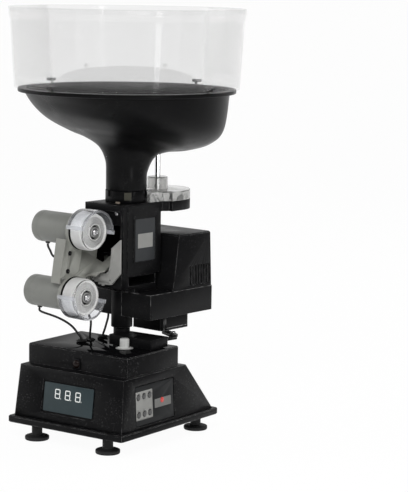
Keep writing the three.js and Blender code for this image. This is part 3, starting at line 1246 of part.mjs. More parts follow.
function wheelHub(side) {
  const w = wheel;
  const outer = w.radius - w.tyreDepth - fit.gap;
  const tail = head.plateFace - head.plateThickness - w.spindleDepth;
  const [disc, face] = [w.front + fit.gap, w.discFront];
  const [well, dip] = [face - w.wellDepth, face - w.bossDip];
  return solid(alongX(turned([
    [0, tail], [w.spindleRadius, tail], [w.spindleRadius, w.back + w.edge], [outer, w.back + w.edge],
    [outer, disc], [w.discRadius, disc], [w.discRadius, face - w.discEdge], [w.discRadius - w.discEdge, face],
    [w.ringOuter, face], [w.ringOuter, face + w.ringRise], [w.ringInner, face + w.ringRise], [w.ringInner, well],
    [w.bossRadius, well], [w.bossRadius, face + w.bossRise], [w.bossRadius - w.bossRim, face + w.bossRise],
    [w.bossRadius - w.bossRim, dip], [w.nutRadius, dip], [w.nutRadius, face + w.nutRise], [0, face + w.nutRise],
  ], facets.medium)).translate(0, 0, side * head.wheelOffset));
}

const motorFace = head.plateFace - head.plateThickness - fit.gap;
const glandX = motorFace - drive.length + drive.glandInset;

function headMotor(side) {
  const d = drive;
  const tail = motorFace - d.length;
  const boreEnd = motorFace - wheel.spindleDepth - fit.running;
  const bore = wheel.spindleRadius + fit.running;
  const soft = d.fillet * (1 - Math.SQRT1_2);
  const body = solid(alongX(turned([
    [0, tail], [d.radius - d.fillet, tail], [d.radius - soft, tail + soft], [d.radius, tail + d.fillet],
    [d.radius, motorFace], [d.noseRadius, motorFace], [d.noseRadius, motorFace + d.noseHeight],
    [bore, motorFace + d.noseHeight], [bore, boreEnd], [0, boreEnd],
  ], facets.medium)).translate(0, 0, side * head.wheelOffset));
  const glandZ = side * head.wheelOffset - d.radius;
  const gland = solid(cylinder(d.glandRadius, glandZ - d.glandHeight, glandZ + 2 * fit.overrun)
    .translate(glandX, 0, 0));
  return join(body, gland);
}

function wheelGuard(side) {
  const g = guard;
  const back = head.discFace + fit.gap;
  const skin = solid(alongX(turned([
    [g.backInner, back], [g.radius, back], [g.radius, g.front], [g.rimInner, g.front],
    [g.rimInner, g.front - g.rimThickness], [g.radius - g.wall, g.front - g.rimThickness],
    [g.radius - g.wall, back + g.backThickness], [g.backInner, back + g.backThickness], [g.backInner, back],
  ], facets.wheel)));
  const reach = g.radius + fit.overrun;
  const other = solid(block([back - fit.overrun, g.front + fit.overrun], [-reach, reach],
    side > 0 ? [-reach, 0] : [0, reach]));
  // A flat hem runs along each cut edge
  const hems = [-1, 1].map((end) => {
    const [near, far] = [g.radius - g.wall, g.radius + g.hemReach].map((y) => end * y);
    const [low, high] = [0, side * g.hemThickness];
    return solid(block([back, g.front], [Math.min(near, far), Math.max(near, far)],
      [Math.min(low, high), Math.max(low, high)]));
  });
  return join(cut(skin, other), ...hems).translate([0, 0, side * head.wheelOffset]);
}

// Leads: each hangs from its motor and drops through a grommet

function route(points) {
  const path = points.map(([x, y, z]) => new THREE.Vector3(x, y, z));
  const length = new THREE.CatmullRomCurve3(path, false, 'catmullrom', lead.tension).getLength();
  return solid(tube(path, lead.radius, lead.sides, Math.ceil(length / lead.pitch), lead.tension));
}

function intoGrommet([x, y]) {
  return [[x, y, shell.boxTop + lead.entry], [x, y, shell.boxTop], [x, y, shell.boxTop - lead.tail]];
}

function fromGland(side) {
  return [fit.gap, lead.entry].map((below) => {
    const z = side * head.wheelOffset - drive.radius - drive.glandHeight - below;
    const [ty, tz] = turnHead(0, z);
    const [x, y] = turretPoint(glandX, ty);
    return [x, y, tz];
  });
}

const at = (points, name) => [points[`${name}X`], points[`${name}Y`], points[`${name}Z`]];

const lowerRoute = [
  ...fromGland(-1), ...['hang', 'sag', 'bend', 'drop'].map((name) => at(lowerLead, name)), ...intoGrommet(grommetXY[0]),
];
const upperRoute = [
  ...fromGland(1),
  ...['leave', 'hang', 'behind', 'fall', 'run', 'bend', 'turn', 'drop'].map((name) => at(upperLead, name)),
  ...intoGrommet(grommetXY[1]),
];
const feedRoute = [
  ...['top', 'under', 'bend', 'drop'].map((name) => at(feedLead, name)), ...intoGrommet(grommetXY[2]),
];

// Assembly

const headGroup = new THREE.Group();
headGroup.name = 'head';
headGroup.position.set(0, head.nipY, head.nipZ);
headGroup.rotation.x = stance.headTilt;
headGroup.add(
  piece('head_bracket', headBracket(), 'grey'),
  piece('upper_motor', headMotor(1), 'grey'),
  piece('lower_motor', headMotor(-1), 'grey'),
  piece('upper_guard', wheelGuard(1), 'clear'),
  piece('lower_guard', wheelGuard(-1), 'clear'),
  piece('upper_tyre', wheelTyre(1), 'white'),
  piece('upper_hub', wheelHub(1), 'clear'),
  piece('lower_tyre', wheelTyre(-1), 'white'),
  piece('lower_hub', wheelHub(-1), 'clear'),
);

const turret = new THREE.Group();
turret.name = 'turret';
turret.rotation.z = stance.turretYaw;
turret.add(
  piece('turret_tray', turretTray(), 'black'),
  piece('rear_cover', rearCoverShell(), 'black'),
  piece('main_housing', mainHousing(), 'black'),
  piece('side_cover', sideCoverPanel(), 'black'),
  piece('feed_gearmotor', feedGearmotor(), 'grey'),
  piece('feed_wheel', feedWheel(), 'white'),
  piece('hopper_bowl', hopperBowl(), 'black'),
  piece('neck_sleeve', neckSleeve(), 'black'),
  piece('clear_collar', clearCollar(), 'clear'),
  piece('gear_tray', gearTrayBody(), 'black'),
  piece('gear_cover', gearCoverBody(), 'clear'),
  piece('shaft_cup', shaftCup(), 'clear'),
  piece('stirrer_gear', stirrerGear(), 'white'),
  piece('motor_pinion', motorPinion(), 'white'),
  piece('stirrer_motor', stirrerMotor(), 'grey'),
  piece('stirrer_shaft', stirrerShaft(), 'steel'),
  piece('sweep_gearbox', sweepGearbox(), 'black'),
  piece('sweep_crank', sweepCrank(), 'steel'),
  piece('hinge_bracket', hingeBracket(), 'lightGrey'),
  piece('tilt_pin', tiltPin(), 'steel'),
  headGroup,
);
clipAngles.forEach((angle, i) => turret.add(piece(`clip_${i + 1}`, collarClip(angle), 'black')));

base.add(
  piece('sweep_link', sweepLink(), 'black'),
  piece('lead_lower_motor', route(lowerRoute), 'rubber'),
  piece('lead_upper_motor', route(upperRoute), 'rubber'),
  piece('lead_feed', route(feedRoute), 'rubber'),
);

const robot = new THREE.Group();
robot.name = 'table_tennis_robot';
robot.add(base, turret);
robot.updateMatrixWorld(true);

export default robot;
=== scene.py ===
"""The table tennis robot, dressed over its packed frame.

Every length is in metres and every piece lies in the frame's own axes: +Z up, throwing towards -Y.
The hopper, turret and head are drawn in the turret's axes or the head's, then placed by those parts' angles.
"""

import math

import bmesh
import bpy
import numpy as np
from mathutils import Matrix, Vector


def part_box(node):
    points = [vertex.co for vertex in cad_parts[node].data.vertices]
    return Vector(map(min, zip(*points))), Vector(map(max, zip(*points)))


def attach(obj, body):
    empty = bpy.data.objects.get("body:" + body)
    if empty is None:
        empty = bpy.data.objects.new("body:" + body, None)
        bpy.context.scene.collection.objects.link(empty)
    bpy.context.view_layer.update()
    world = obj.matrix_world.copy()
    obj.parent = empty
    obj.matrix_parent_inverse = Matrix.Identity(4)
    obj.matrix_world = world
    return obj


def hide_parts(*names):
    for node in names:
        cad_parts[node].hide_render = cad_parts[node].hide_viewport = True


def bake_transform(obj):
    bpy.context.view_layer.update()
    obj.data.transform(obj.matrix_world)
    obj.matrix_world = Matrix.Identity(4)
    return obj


bl_info = {
    "name": "Table tennis robot",
    "version": (1, 0, 0),
    "blender": (4, 5, 0),
    "location": "3D View > Sidebar > Robot",
    "description": "Dresses a table tennis robot over its solid frame",
    "category": "Object",
}

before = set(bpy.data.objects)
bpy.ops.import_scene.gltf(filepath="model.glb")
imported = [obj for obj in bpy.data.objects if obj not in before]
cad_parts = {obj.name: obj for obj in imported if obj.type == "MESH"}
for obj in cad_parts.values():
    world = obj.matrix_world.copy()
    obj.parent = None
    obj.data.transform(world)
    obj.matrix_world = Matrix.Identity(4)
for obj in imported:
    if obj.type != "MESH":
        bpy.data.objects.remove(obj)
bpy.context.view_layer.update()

TURRET_YAW = math.radians(-5)
HEAD_TILT = math.radians(-9.77)
NIP = np.array([0, -0.0807, 0.2525])
WHEEL_OFFSET = 0.0463
TURN = 2 * math.pi
FULL_CIRCLE = 128


# Places


BASE_TOP = 0.1348


def turned_about(points, axis, angle):
    """Points turned by an angle about an axis through the origin: the two other coordinates mix by cosine and sine."""
    points = np.asarray(points, float)
    first, second = [(1, 2), (2, 0), (0, 1)][axis]
    out = points.copy()
    out[..., first] = points[..., first] * math.cos(angle) - points[..., second] * math.sin(angle)
    out[..., second] = points[..., first] * math.sin(angle) + points[..., second] * math.cos(angle)
    return out


def on_turret(points):
    """From the turret's axes to the frame's."""
    return turned_about(points, 2, TURRET_YAW)


def on_head(points):
    """From the head's axes, about the point where the ball is gripped, to the frame's."""
    return on_turret(turned_about(points, 0, HEAD_TILT) + NIP)


def on_base(points):
    """The base's own axes are the frame's."""
    return np.asarray(points, float)


def along_x(points):
    """A form made about Z is laid so that its axis runs along X."""
    points = np.asarray(points, float)
    return np.stack([points[..., 2], points[..., 1], -points[..., 0]], axis=-1)


def forwards(points):
    """A form made about Z is laid so that its top looks towards -Y."""
    return np.stack([points[..., 0], -points[..., 2], points[..., 1]], axis=-1)


def sideways(points):
    """A form drawn flat is stood up so that its top looks towards +X."""
    return np.stack([points[..., 2], points[..., 0], points[..., 1]], axis=-1)


# Meshes


def finish_mesh(name, vertices, faces, sharp=35.0):
    """A mesh object from arrays, smooth but for edges whose faces meet at more than the sharp angle."""
    mesh = bpy.data.meshes.new(name)
    mesh.from_pydata(np.asarray(vertices, float).reshape(-1, 3).tolist(), [], [list(f) for f in faces])
    mesh.validate()
    obj = bpy.data.objects.new(name, mesh)
    bpy.context.scene.collection.objects.link(obj)
    work = bmesh.new()
    work.from_mesh(mesh)
    bmesh.ops.remove_doubles(work, verts=work.verts, dist=1e-7)
    bmesh.ops.recalc_face_normals(work, faces=work.faces)
    work.to_mesh(mesh)
    work.free()
    mesh.shade_smooth()
    mesh.set_sharp_from_angle(angle=math.radians(sharp))
    return obj


def grid_quads(rows, columns, wrap_rows=False, wrap_columns=True):
    """Quads that join each grid point to the next along both ways, with either way closed on itself."""
    r = np.arange(rows if wrap_rows else rows - 1)[:, None]
    c = np.arange(columns if wrap_columns else columns - 1)[None, :]
    r2, c2 = (r + 1) % rows, (c + 1) % columns
    quads = [r * columns + c, r * columns + c2, r2 * columns + c2, r2 * columns + c]
    return np.stack(np.broadcast_arrays(*quads), axis=-1).reshape(-1, 4)


def eased(points, radii, steps=4, closed=False):
    """A line of points with round corners: each corner is the quadratic curve from one side of it to the other."""
    p = np.asarray(points, float)
    size = np.broadcast_to(np.asarray(radii, float), (len(p),)).copy()
    before, after = np.roll(p, 1, axis=0), np.roll(p, -1, axis=0)
    if not closed:
        size[[0, -1]] = 0
        before[0], after[-1] = p[0], p[-1]
    back, ahead = before - p, after - p
    reach = [np.maximum(np.linalg.norm(v, axis=1), 1e-12) for v in (back, ahead)]
    cut = np.minimum(size, 0.49 * np.minimum(*[np.where(r < 1e-11, 1.0, r) for r in reach]))
    a = p + back / reach[0][:, None] * cut[:, None]
    b = p + ahead / reach[1][:, None] * cut[:, None]
    t = np.linspace(0, 1, steps + 1)[None, :, None]
    curve = (1 - t) ** 2 * a[:, None] + 2 * t * (1 - t) * p[:, None] + t**2 * b[:, None]
    flat = curve.reshape(-1, p.shape[1])
    keep = np.ones(len(flat), bool)
    keep[1:] = np.linalg.norm(np.diff(flat, axis=0), axis=1) > 1e-8
    return flat[keep]


def revolved(profile, segments=FULL_CIRCLE, closed=False):
    """A profile of (radius, height) points turned about Z: x = r cos a, y = r sin a, z = height."""
    profile = np.asarray(profile, float)
    angle = np.linspace(0, TURN, segments, endpoint=False)[None, :]
    r, z = profile[:, :1], profile[:, 1:]
    grid = np.stack([r * np.cos(angle), r * np.sin(angle), np.broadcast_to(z, (len(profile), segments))], axis=-1)
    return grid, grid_quads(len(profile), segments, wrap_rows=closed)


def turned_piece(name, points, radii, place, segments=FULL_CIRCLE, closed=False, lay=None, centre=(0, 0, 0), steps=4):
    """A turned piece with eased edges, laid along X if asked, moved to its centre and placed."""
    grid, quads = revolved(eased(points, radii, steps, closed), segments, closed)
    grid = grid if lay is None else lay(grid)
    return finish_mesh(name, place(grid + np.array(centre)), quads)


def swept(path, radius, sides=16):
    """A round tube: at each point of the path a circle in the plane square to it, turned as little as can be."""
    path = np.asarray(path, float)
    along = np.gradient(path, axis=0)
    along /= np.linalg.norm(along, axis=1)[:, None]
    aside = np.zeros_like(path)
    aside[0] = np.cross(along[0], [0.3, 0.9, 0.2])
    aside[0] /= np.linalg.norm(aside[0])
    for i in range(1, len(path)):
        aside[i] = aside[i - 1] - along[i] * np.dot(aside[i - 1], along[i])
        aside[i] /= np.linalg.norm(aside[i])
    other = np.cross(along, aside)
    angle = np.linspace(0, TURN, sides, endpoint=False)[None, :, None]
    radius = np.broadcast_to(np.asarray(radius, float), (len(path),))[:, None, None]
    grid = path[:, None] + radius * (np.cos(angle) * aside[:, None] + np.sin(angle) * other[:, None])
    caps = [list(range(sides))[::-1], list(range((len(path) - 1) * sides, len(path) * sides))]
    return grid, [list(q) for q in grid_quads(len(path), sides)] + caps


def spline(points, per_span):
    """Catmull-Rom curve through points stacked along the next-to-last axis, with the ends held."""
    p = np.asarray(points, float)
    padded = np.concatenate([p[..., :1, :], p, p[..., -1:, :]], axis=-2)
    p0, p1, p2, p3 = (padded[..., k : k + p.shape[-2] - 1, :] for k in range(4))
    t = np.linspace(0, 1, per_span, endpoint=False)[:, None, None]
    v0, v1 = (p2 - p0) / 2, (p3 - p1) / 2
    shape = [1] * (p.ndim - 2) + [per_span, 1, 1]
    t = t.reshape(shape)
    p1, p2, v0, v1 = (a[..., None, :, :] for a in (p1, p2, v0, v1))
    curve = (2 * p1 - 2 * p2 + v0 + v1) * t**3 + (-3 * p1 + 3 * p2 - 2 * v0 - v1) * t**2 + v0 * t + p1
    curve = np.swapaxes(curve, -3, -2).reshape(*p.shape[:-2], -1, p.shape[-1])
    return np.concatenate([curve, p[..., -1:, :]], axis=-2)


def slab(name, outline, low, high, place, edge=0.0004, stand=None):
    """A flat plate: an outline in the plane, carried from low to high with its rims eased in by the edge."""
    rim = np.asarray(outline, float)
    middle = rim.mean(axis=0)
    shrink = 1 - edge / np.maximum(np.abs(rim - middle).max(axis=0), 1e-6)
    inner = middle + (rim - middle) * shrink
    levels = [(inner, low), (rim, low + edge), (rim, high - edge), (inner, high)]
    grid = np.stack([np.column_stack([ring, np.full(len(ring), z)]) for ring, z in levels])
    count = len(rim)
    faces = [list(q) for q in grid_quads(4, count)]
    faces += [list(range(count))[::-1], list(range(3 * count, 4 * count))]
    grid = grid if stand is None else stand(grid)
    return finish_mesh(name, place(grid), faces)


def rounded_box_outline(x0, x1, y0, y1, radius, steps=5):
    """A rectangle's outline with round corners."""
    return eased([(x0, y0), (x1, y0), (x1, y1), (x0, y1)], radius, steps, closed=True)


LARGE_FACE, LONG_EDGE = 0.0004, 0.012


def softened(name, node, width=0.0006, segments=2, sharp=32.0, broad=None, wear_and_sheen=None):
    """A copy of a CAD node whose flat faces are whole again and whose sharp edges are rounded by a bevel.

    With a broad width, long outer edges between large faces get that width, and the others keep the narrow one.
    With the last argument set, the rounded edges take the piece's second material: on the casings that is a pale
    painted highlight along them, partly rubbed wear.
    """
    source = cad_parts[node]
    mesh = source.data.copy()
    mesh.name = name
    obj = bpy.data.objects.new(name, mesh)
    bpy.context.scene.collection.objects.link(obj)
    work = bmesh.new()
    work.from_mesh(mesh)
    bmesh.ops.remove_doubles(work, verts=work.verts, dist=1e-6)
    bmesh.ops.dissolve_limit(
        work, angle_limit=math.radians(1.5), verts=work.verts, edges=work.edges, use_dissolve_boundaries=False
    )
    if broad:
        weight = work.edges.layers.float.new("bevel_weight_edge")
        for edge in work.edges:
            if len(edge.link_faces) != 2 or edge.calc_face_angle() < math.radians(sharp):
                continue
            large = min(face.calc_area() for face in edge.link_faces) > LARGE_FACE
            outer = large and edge.is_convex and edge.calc_length() > LONG_EDGE
            edge[weight] = 1.0 if outer else width / broad
    work.to_mesh(mesh)
    work.free()
    mesh.materials.clear()
    mesh.shade_smooth()
    bevel = obj.modifiers.new("edges", "BEVEL")
    bevel.width = broad or width
    bevel.segments = segments
    bevel.limit_method = "WEIGHT" if broad else "ANGLE"
    bevel.angle_limit = math.radians(sharp)
    bevel.use_clamp_overlap = True
    bevel.harden_normals = True
    bevel.miter_outer = "MITER_ARC"
    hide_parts(node)
    # The rounded edges take the second material: on the casings a pale painted highlight, partly wear.
    if wear_and_sheen:
        bevel.material = 1
    return obj


# Shader maths


class Field:
    """A number or colour that varies over a surface. Arithmetic on it adds Math nodes."""

    def __init__(self, finish, socket):
        self.finish = finish
        self.socket = socket

    def math(self, operation, *values):
        return self.finish.node("ShaderNodeMath", {"operation": operation}, dict(enumerate(values)))

    def __add__(self, other):
        return self.math("ADD", self, other)

    def __sub__(self, other):
        return self.math("SUBTRACT", self, other)

    def __rsub__(self, other):
        return self.math("SUBTRACT", other, self)

    def __mul__(self, other):
        return self.math("MULTIPLY", self, other)

    def __pow__(self, other):
        return self.math("POWER", self, other)

    __radd__ = __add__
    __rmul__ = __mul__

    def between(self, low, high):
        """0 below low, 1 above high and a smooth step between them."""
        return self.finish.node(
            "ShaderNodeMapRange", {"interpolation_type": "SMOOTHSTEP"}, {"Value": self, "From Min": low, "From Max": high}
        )


class Finish:
    """One material: a Principled shader whose varying inputs are fed by fields."""

    made = {}

    def __init__(self, name, colour, roughness, **settings):
        self.material = bpy.data.materials.new(name)
        self.material.use_nodes = True
        self.tree = self.material.node_tree
        self.shader = self.tree.nodes["Principled BSDF"]
        self.shader.inputs["Base Color"].default_value = (*colour, 1)
        self.shader.inputs["Roughness"].default_value = roughness
        for key, value in settings.items():
            self.shader.inputs[key.replace("_", " ").title().replace("Ior", "IOR")].default_value = value
        self.place = self.node("ShaderNodeTexCoord", {}, {}, "Object")
        Finish.made[name] = self.material

    def node(self, kind, settings, inputs, output=0):
        """Any node: its settings first, then values or fields for its sockets, and the field of one output."""
        node = self.tree.nodes.new(kind)
        for key, value in settings.items():
            setattr(node, key, value)
        for key, value in inputs.items():
            if isinstance(value, Field):
                self.tree.links.new(value.socket, node.inputs[key])
            else:
                node.inputs[key].default_value = value
        return Field(self, node.outputs[output])

    def grain(self, size, detail=2.0, shift=0.0):
        """Noise whose blotches are about this many metres across, from 0 to 1."""
        place = self.node("ShaderNodeMapping", {}, {"Vector": self.place, "Location": (shift, shift, shift)})
        return self.node("ShaderNodeTexNoise", {}, {"Vector": place, "Scale": 1 / size, "Detail": detail})

    def stretched(self, size, stretch, shift=0.0):
        """Noise drawn out along one axis, as brushing or rubbing leaves it."""
        scale = tuple(1 / (size * s) for s in stretch)
        place = self.node("ShaderNodeMapping", {}, {"Vector": self.place, "Scale": scale, "Location": (shift, 0, 0)})
        return self.node("ShaderNodeTexNoise", {}, {"Vector": place, "Scale": 1.0, "Detail": 2.0})

    def cells(self, size):
        """Distance to the nearest of scattered points, for pits and cells."""
        return self.node("ShaderNodeTexVoronoi", {}, {"Vector": self.place, "Scale": 1 / size})

    def blend(self, share, low, high):
        """Colours mixed by a share."""
        rgba = [v if isinstance(v, Field) else (*v, 1) for v in (low, high)]
        return self.node("ShaderNodeMix", {"data_type": "RGBA"}, {0: share, 6: rgba[0], 7: rgba[1]}, 2)

    def feed(self, **fields):
        for key, field in fields.items():
            self.tree.links.new(field.socket, self.shader.inputs[key.replace("_", " ").title()])

    def raise_by(self, height, distance, strength=1.0):
        """A bump of this height field, its full height in metres."""
        bump = self.node("ShaderNodeBump", {}, {"Height": height, "Distance": distance, "Strength": strength}, "Normal")
        self.tree.links.new(bump.socket, self.shader.inputs["Normal"])


def moulded(name, colour, roughness, grain=0.0006, depth=0.00006, dust=0.05, coat=0.0, shine=0.5, lid=None, tip_glint=0.0):
    """Moulded plastic: a fine grain eroded by sparks, a faint cloudiness, dust in its hollows and rubbed patches.

    With a lid, the part above that height is polished instead. The last argument is how pale the grain's tips are
    painted: painted glints, standing in for light sparkling off the grain.
    """
    made = Finish(name, colour, roughness, coat_weight=coat, coat_roughness=0.15)
    made.shader.inputs["Specular IOR Level"].default_value = shine
    speck = made.grain(grain, 3.0)
    cloud = made.grain(0.03, 3.0, 4.0)
    rubbed = made.grain(0.05, 4.0, 9.0).between(0.5, 0.72)
    settled = (made.grain(0.0022, 5.0, 2.0) * made.grain(0.02, 2.0, 6.0)).between(0.30, 0.46)
    paler = tuple(min(1.0, c * 1.3 + 0.002) for c in colour)
    dusty = tuple(c * (1 - dust) + dust * 0.3 for c in colour)
    tone = made.blend(cloud.between(0.3, 0.75) * 0.5 + speck.between(0.5, 0.8) * 0.25, colour, paler)
    tone = made.blend(settled * 0.5, tone, dusty)
    # Painted glints: pale dots on the grain's tips where light would sparkle off it.
    if tip_glint:
        tips = made.grain(0.0023, 6.0, 7.0).between(0.56, 0.72) * made.grain(0.03, 3.0, 1.0).between(0.35, 0.65)
        tone = made.blend(tips, tone, tuple(c + tip_glint for c in colour))
    made.feed(Base_Color=tone)
    dull = speck * 0.12 + rubbed * -0.10 + settled * 0.12 + (roughness - 0.05)
    if lid is None:
        made.feed(Roughness=dull)
        made.raise_by(speck, depth)
        return made.material
    above = made.node("ShaderNodeSeparateXYZ", {}, {0: made.place}, 2).between(lid - 0.0006, lid + 0.0002)
    made.feed(Roughness=dull)
    made.raise_by(speck, depth)
    polish = {"Base Color": (*colour, 1), "Roughness": 0.6, "Specular IOR Level": 0.0, "Coat Roughness": 0.03}
    lacquer = made.node("ShaderNodeBsdfPrincipled", {}, {**polish, "Coat Weight": settled * -0.08 + 0.2})
    both = made.node("ShaderNodeMixShader", {}, {0: above, 1: Field(made, made.shader.outputs[0]), 2: lacquer})
    made.tree.links.new(both.socket, made.tree.nodes["Material Output"].inputs["Surface"])
    return made.material


def edge_highlight_and_wear(name, colour):
    """Moulded plastic painted pale along an edge, in a broken line: a painted highlight, partly rubbed wear, in
    stretches that noise picks.
    """
    made = Finish(name, colour, 0.35)
    made.shader.inputs["Specular IOR Level"].default_value = 0.3
    rubbed = made.grain(0.009, 5.0).between(0.40, 0.56)
    # Pale stretches: a painted highlight along the edge, partly rubbed wear.
    made.feed(Base_Color=made.blend(rubbed, colour, tuple(c + 0.34 for c in colour)))
    made.feed(Roughness=rubbed * -0.08 + 0.38)
    made.raise_by(made.grain(0.0009), 0.00003)
    return made.material


def foam(name, colour):
    """Closed-cell foam: fine pits, and a slight greyness where balls have run."""
    made = Finish(name, colour, 0.9)
    pits = made.cells(0.0007)
    wear_and_sheen = made.grain(0.012, 4.0)
    grey = tuple(c * 0.86 for c in colour)
    made.feed(Base_Color=made.blend(wear_and_sheen.between(0.42, 0.7) * 0.6, colour, grey))
    made.feed(Roughness=wear_and_sheen * 0.1 + 0.82)
    made.raise_by(pits, 0.0001)
    return made.material


def clear(name, colour, roughness=0.04, cloudy=0.0, thin=0.0, foot=None):
    """Clear moulded plastic: glass that lets lamps through, with a faint ripple and fine rubbing marks.

    Cloudy is its milky share, and thin the share that light crosses unbent, which is most of it below the foot.
    """
    made = Finish(name, colour, roughness, transmission_weight=1 - cloudy, ior=1.47)
    marks = made.grain(0.004, 5.0)
    made.feed(Roughness=marks.between(0.45, 0.8) * 0.05 + roughness)
    made.raise_by(made.grain(0.03, 1.0), 0.00015, 0.4)
    ray = made.node("ShaderNodeLightPath", {}, {}, "Is Shadow Ray")
    if foot:
        height = made.node("ShaderNodeSeparateXYZ", {}, {0: made.place}, 2)
        thin = height.between(foot, foot + 0.02) * (thin - 0.95) + 0.95
    open_air = made.node("ShaderNodeBsdfTransparent", {}, {"Color": (*[c**0.5 for c in colour], 1)})
    through = made.node(
        "ShaderNodeMixShader", {},
        {0: ray * (1 - thin) + thin, 1: Field(made, made.shader.outputs[0]), 2: open_air},
    )
    made.tree.links.new(through.socket, made.tree.nodes["Material Output"].inputs["Surface"])
    return made.material


def metal(name, colour, roughness, stretch=(1, 1, 14)):
    """Bright metal: turning marks along one axis and a few duller spots."""
    made = Finish(name, colour, roughness, metallic=1.0)
    marks = made.stretched(0.0004, stretch)
    dull = made.grain(0.004, 4.0, 3.0).between(0.55, 0.75)
    made.feed(Roughness=marks * 0.12 + dull * 0.15 + roughness)
    made.feed(Base_Color=made.blend(dull * 0.4, colour, tuple(c * 0.75 for c in colour)))
    made.raise_by(marks, 0.00002)
    return made.material


def rubber(name, colour, roughness=0.75):
    """Rubber: matt, with a faint bloom and fine pitting."""
    made = Finish(name, colour, roughness)
    bloom = made.grain(0.006, 4.0)
    made.feed(Base_Color=made.blend(bloom.between(0.45, 0.75) * 0.5, colour, tuple(c + 0.008 for c in colour)))
    made.feed(Roughness=bloom * 0.2 + (roughness - 0.1))
    made.raise_by(made.grain(0.0004, 2.0, 5.0), 0.00005)
    return made.material


def lamp_red(name, colour):
    """A red push button's cap: glossy, a little see-into, with faint finger marks."""
    made = Finish(name, colour, 0.3, coat_weight=0.4, coat_roughness=0.1)
    marks = made.grain(0.0025, 4.0)
    made.feed(Base_Color=made.blend(marks.between(0.4, 0.75), colour, tuple(min(1, c * 1.5 + 0.02) for c in colour)))
    made.feed(Roughness=marks * 0.15 + 0.25)
    made.raise_by(made.grain(0.0008), 0.00002)
    return made.material


def lit(name, colour, strength):
    """A lit segment of the display: pale, evenly bright with a slight falling off."""
    made = Finish(name, colour, 0.4, emission_strength=strength)
    glow = made.grain(0.002, 2.0)
    made.feed(Emission_Color=made.blend(glow, colour, tuple(c * 0.85 for c in colour)))
    made.feed(Base_Color=made.blend(glow, colour, tuple(c * 0.9 for c in colour)))
    return made.material


def dress(obj, body, finish, wear_and_sheen=None):
    """The piece takes its finish, and a second finish if asked, and moves with its body. On the casings the second is a
    pale painted highlight on the rounded edges, partly wear; on the bowl it is the inside's finish.
    """
    obj.data.materials.clear()
    obj.data.materials.append(Finish.made[finish])
    if wear_and_sheen:
        obj.data.materials.append(Finish.made[wear_and_sheen])
    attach(obj, body)
    return obj


# Settings


def length(name, description, default):
    """A length in metres that a user may change."""
    return bpy.props.FloatProperty(name=name, description=description, default=default, unit="LENGTH", precision=4)


def number(name, description, default):
    """A plain number that a user may change."""
    return bpy.props.FloatProperty(name=name, description=description, default=default)


def colour(name, description, default):
    """A colour that a user may change."""
    return bpy.props.FloatVectorProperty(
        name=name, description=description, default=default, subtype="COLOR", size=3, min=0, max=1
    )


class RobotColours(bpy.types.PropertyGroup):
    """What each finish is made of."""

    black: colour("Black plastic", "Grained casings", (0.0062, 0.0062, 0.0068))
    gloss: colour("Gloss black", "The base's shell", (0.0048, 0.0048, 0.0054))
    bowl: colour("Bowl", "The ball bowl's satin black", (0.0056, 0.0056, 0.0060))
    bracket: colour("Bracket grey", "The head's bracket and chute", (0.31, 0.313, 0.285))
    motor: colour("Motor grey", "The wheel motors' cans", (0.235, 0.24, 0.222))
    hinge: colour("Light grey", "The hinge bracket and the button block", (0.35, 0.35, 0.335))
    foam: colour("Foam", "The wheels' tyres", (0.80, 0.80, 0.79))
    hub: colour("Hub", "The wheels' cores and the gears", (0.40, 0.40, 0.395))
    knob: colour("Knob", "The fluted knob", (0.66, 0.665, 0.65))
    label: colour("Label", "The side cover's bare label", (0.034, 0.037, 0.040))
    window: colour("Display panel", "The display's tinted panel", (0.040, 0.058, 0.064))
    red: colour("Red", "The power button", (0.72, 0.035, 0.025))
    rubber: colour("Rubber", "Feet and leads", (0.0065, 0.0065, 0.0070))
    steel: colour("Steel", "Screws, pins and shafts", (0.62, 0.62, 0.63))
    board: colour("Board green", "The circuit board", (0.02, 0.13, 0.06))


class RobotCasing(bpy.types.PropertyGroup):
    """Sizes shared by the moulded casings."""

    edge: length("Edge", "How far sharp edges are rounded", 0.0007)
    fine_edge: length("Fine edge", "Rounding of small parts' edges", 0.0003)


class RobotBowl(bpy.types.PropertyGroup):
    """The ball bowl and its collar."""

    wall: length("Wall", "Thickness of the bowl's wall", 0.003)
    flange: length("Flange", "Radius of the bowl's flange", 0.155)
    flange_top: length("Flange top", "Height of the flange's top", 0.4976)
    lip: length("Lip", "Radius where the bowl meets its flange", 0.146)
    mouth: length("Mouth", "Radius of the bowl's mouth", 0.1435)
    collar_wall: length("Collar wall", "Thickness of the clear collar", 0.0022)


class RobotWheel(bpy.types.PropertyGroup):
    """A throwing wheel, its motor and its guard."""

    radius: length("Radius", "Radius of the foam tyre", 0.0266)
    depth: length("Foam depth", "Thickness of the foam on the hub", 0.005)
    back: length("Back", "Where the tyre's back lies along the shaft", -0.0154)
    front: length("Front", "Where the tyre's front lies along the shaft", 0.0042)
    disc: length("Disc", "Radius of the clear disc in front of the foam", 0.025)
    face: length("Face", "Where the clear disc's face lies along the shaft", 0.0076)
    motor_radius: length("Motor radius", "Radius of the motor's can", 0.0224)
    motor_length: length("Motor length", "Length of the motor's can", 0.074)
    motor_front: length("Motor front", "Where the motor's can meets the bracket", -0.0237)
    guard_radius: length("Guard radius", "Radius of the clear guard", 0.0318)
    guard_wall: length("Guard wall", "Thickness of the clear guard", 0.0018)


class RobotLead(bpy.types.PropertyGroup):
    """The leads that run down into the base."""

    radius: length("Radius", "Half the lead's thickness", 0.0016)


class RobotStage(bpy.types.PropertyGroup):
    """The camera, the lamps and the floor."""

    lens: number("Lens", "Focal length on a sensor 36 mm wide", 169.75)
    key: bpy.props.FloatProperty(name="Key lamp", description="Power of the main lamp", default=36, unit="POWER")
    floor: colour("Floor", "Colour of floor and backdrop", (0.9, 0.9, 0.9))


# Operators


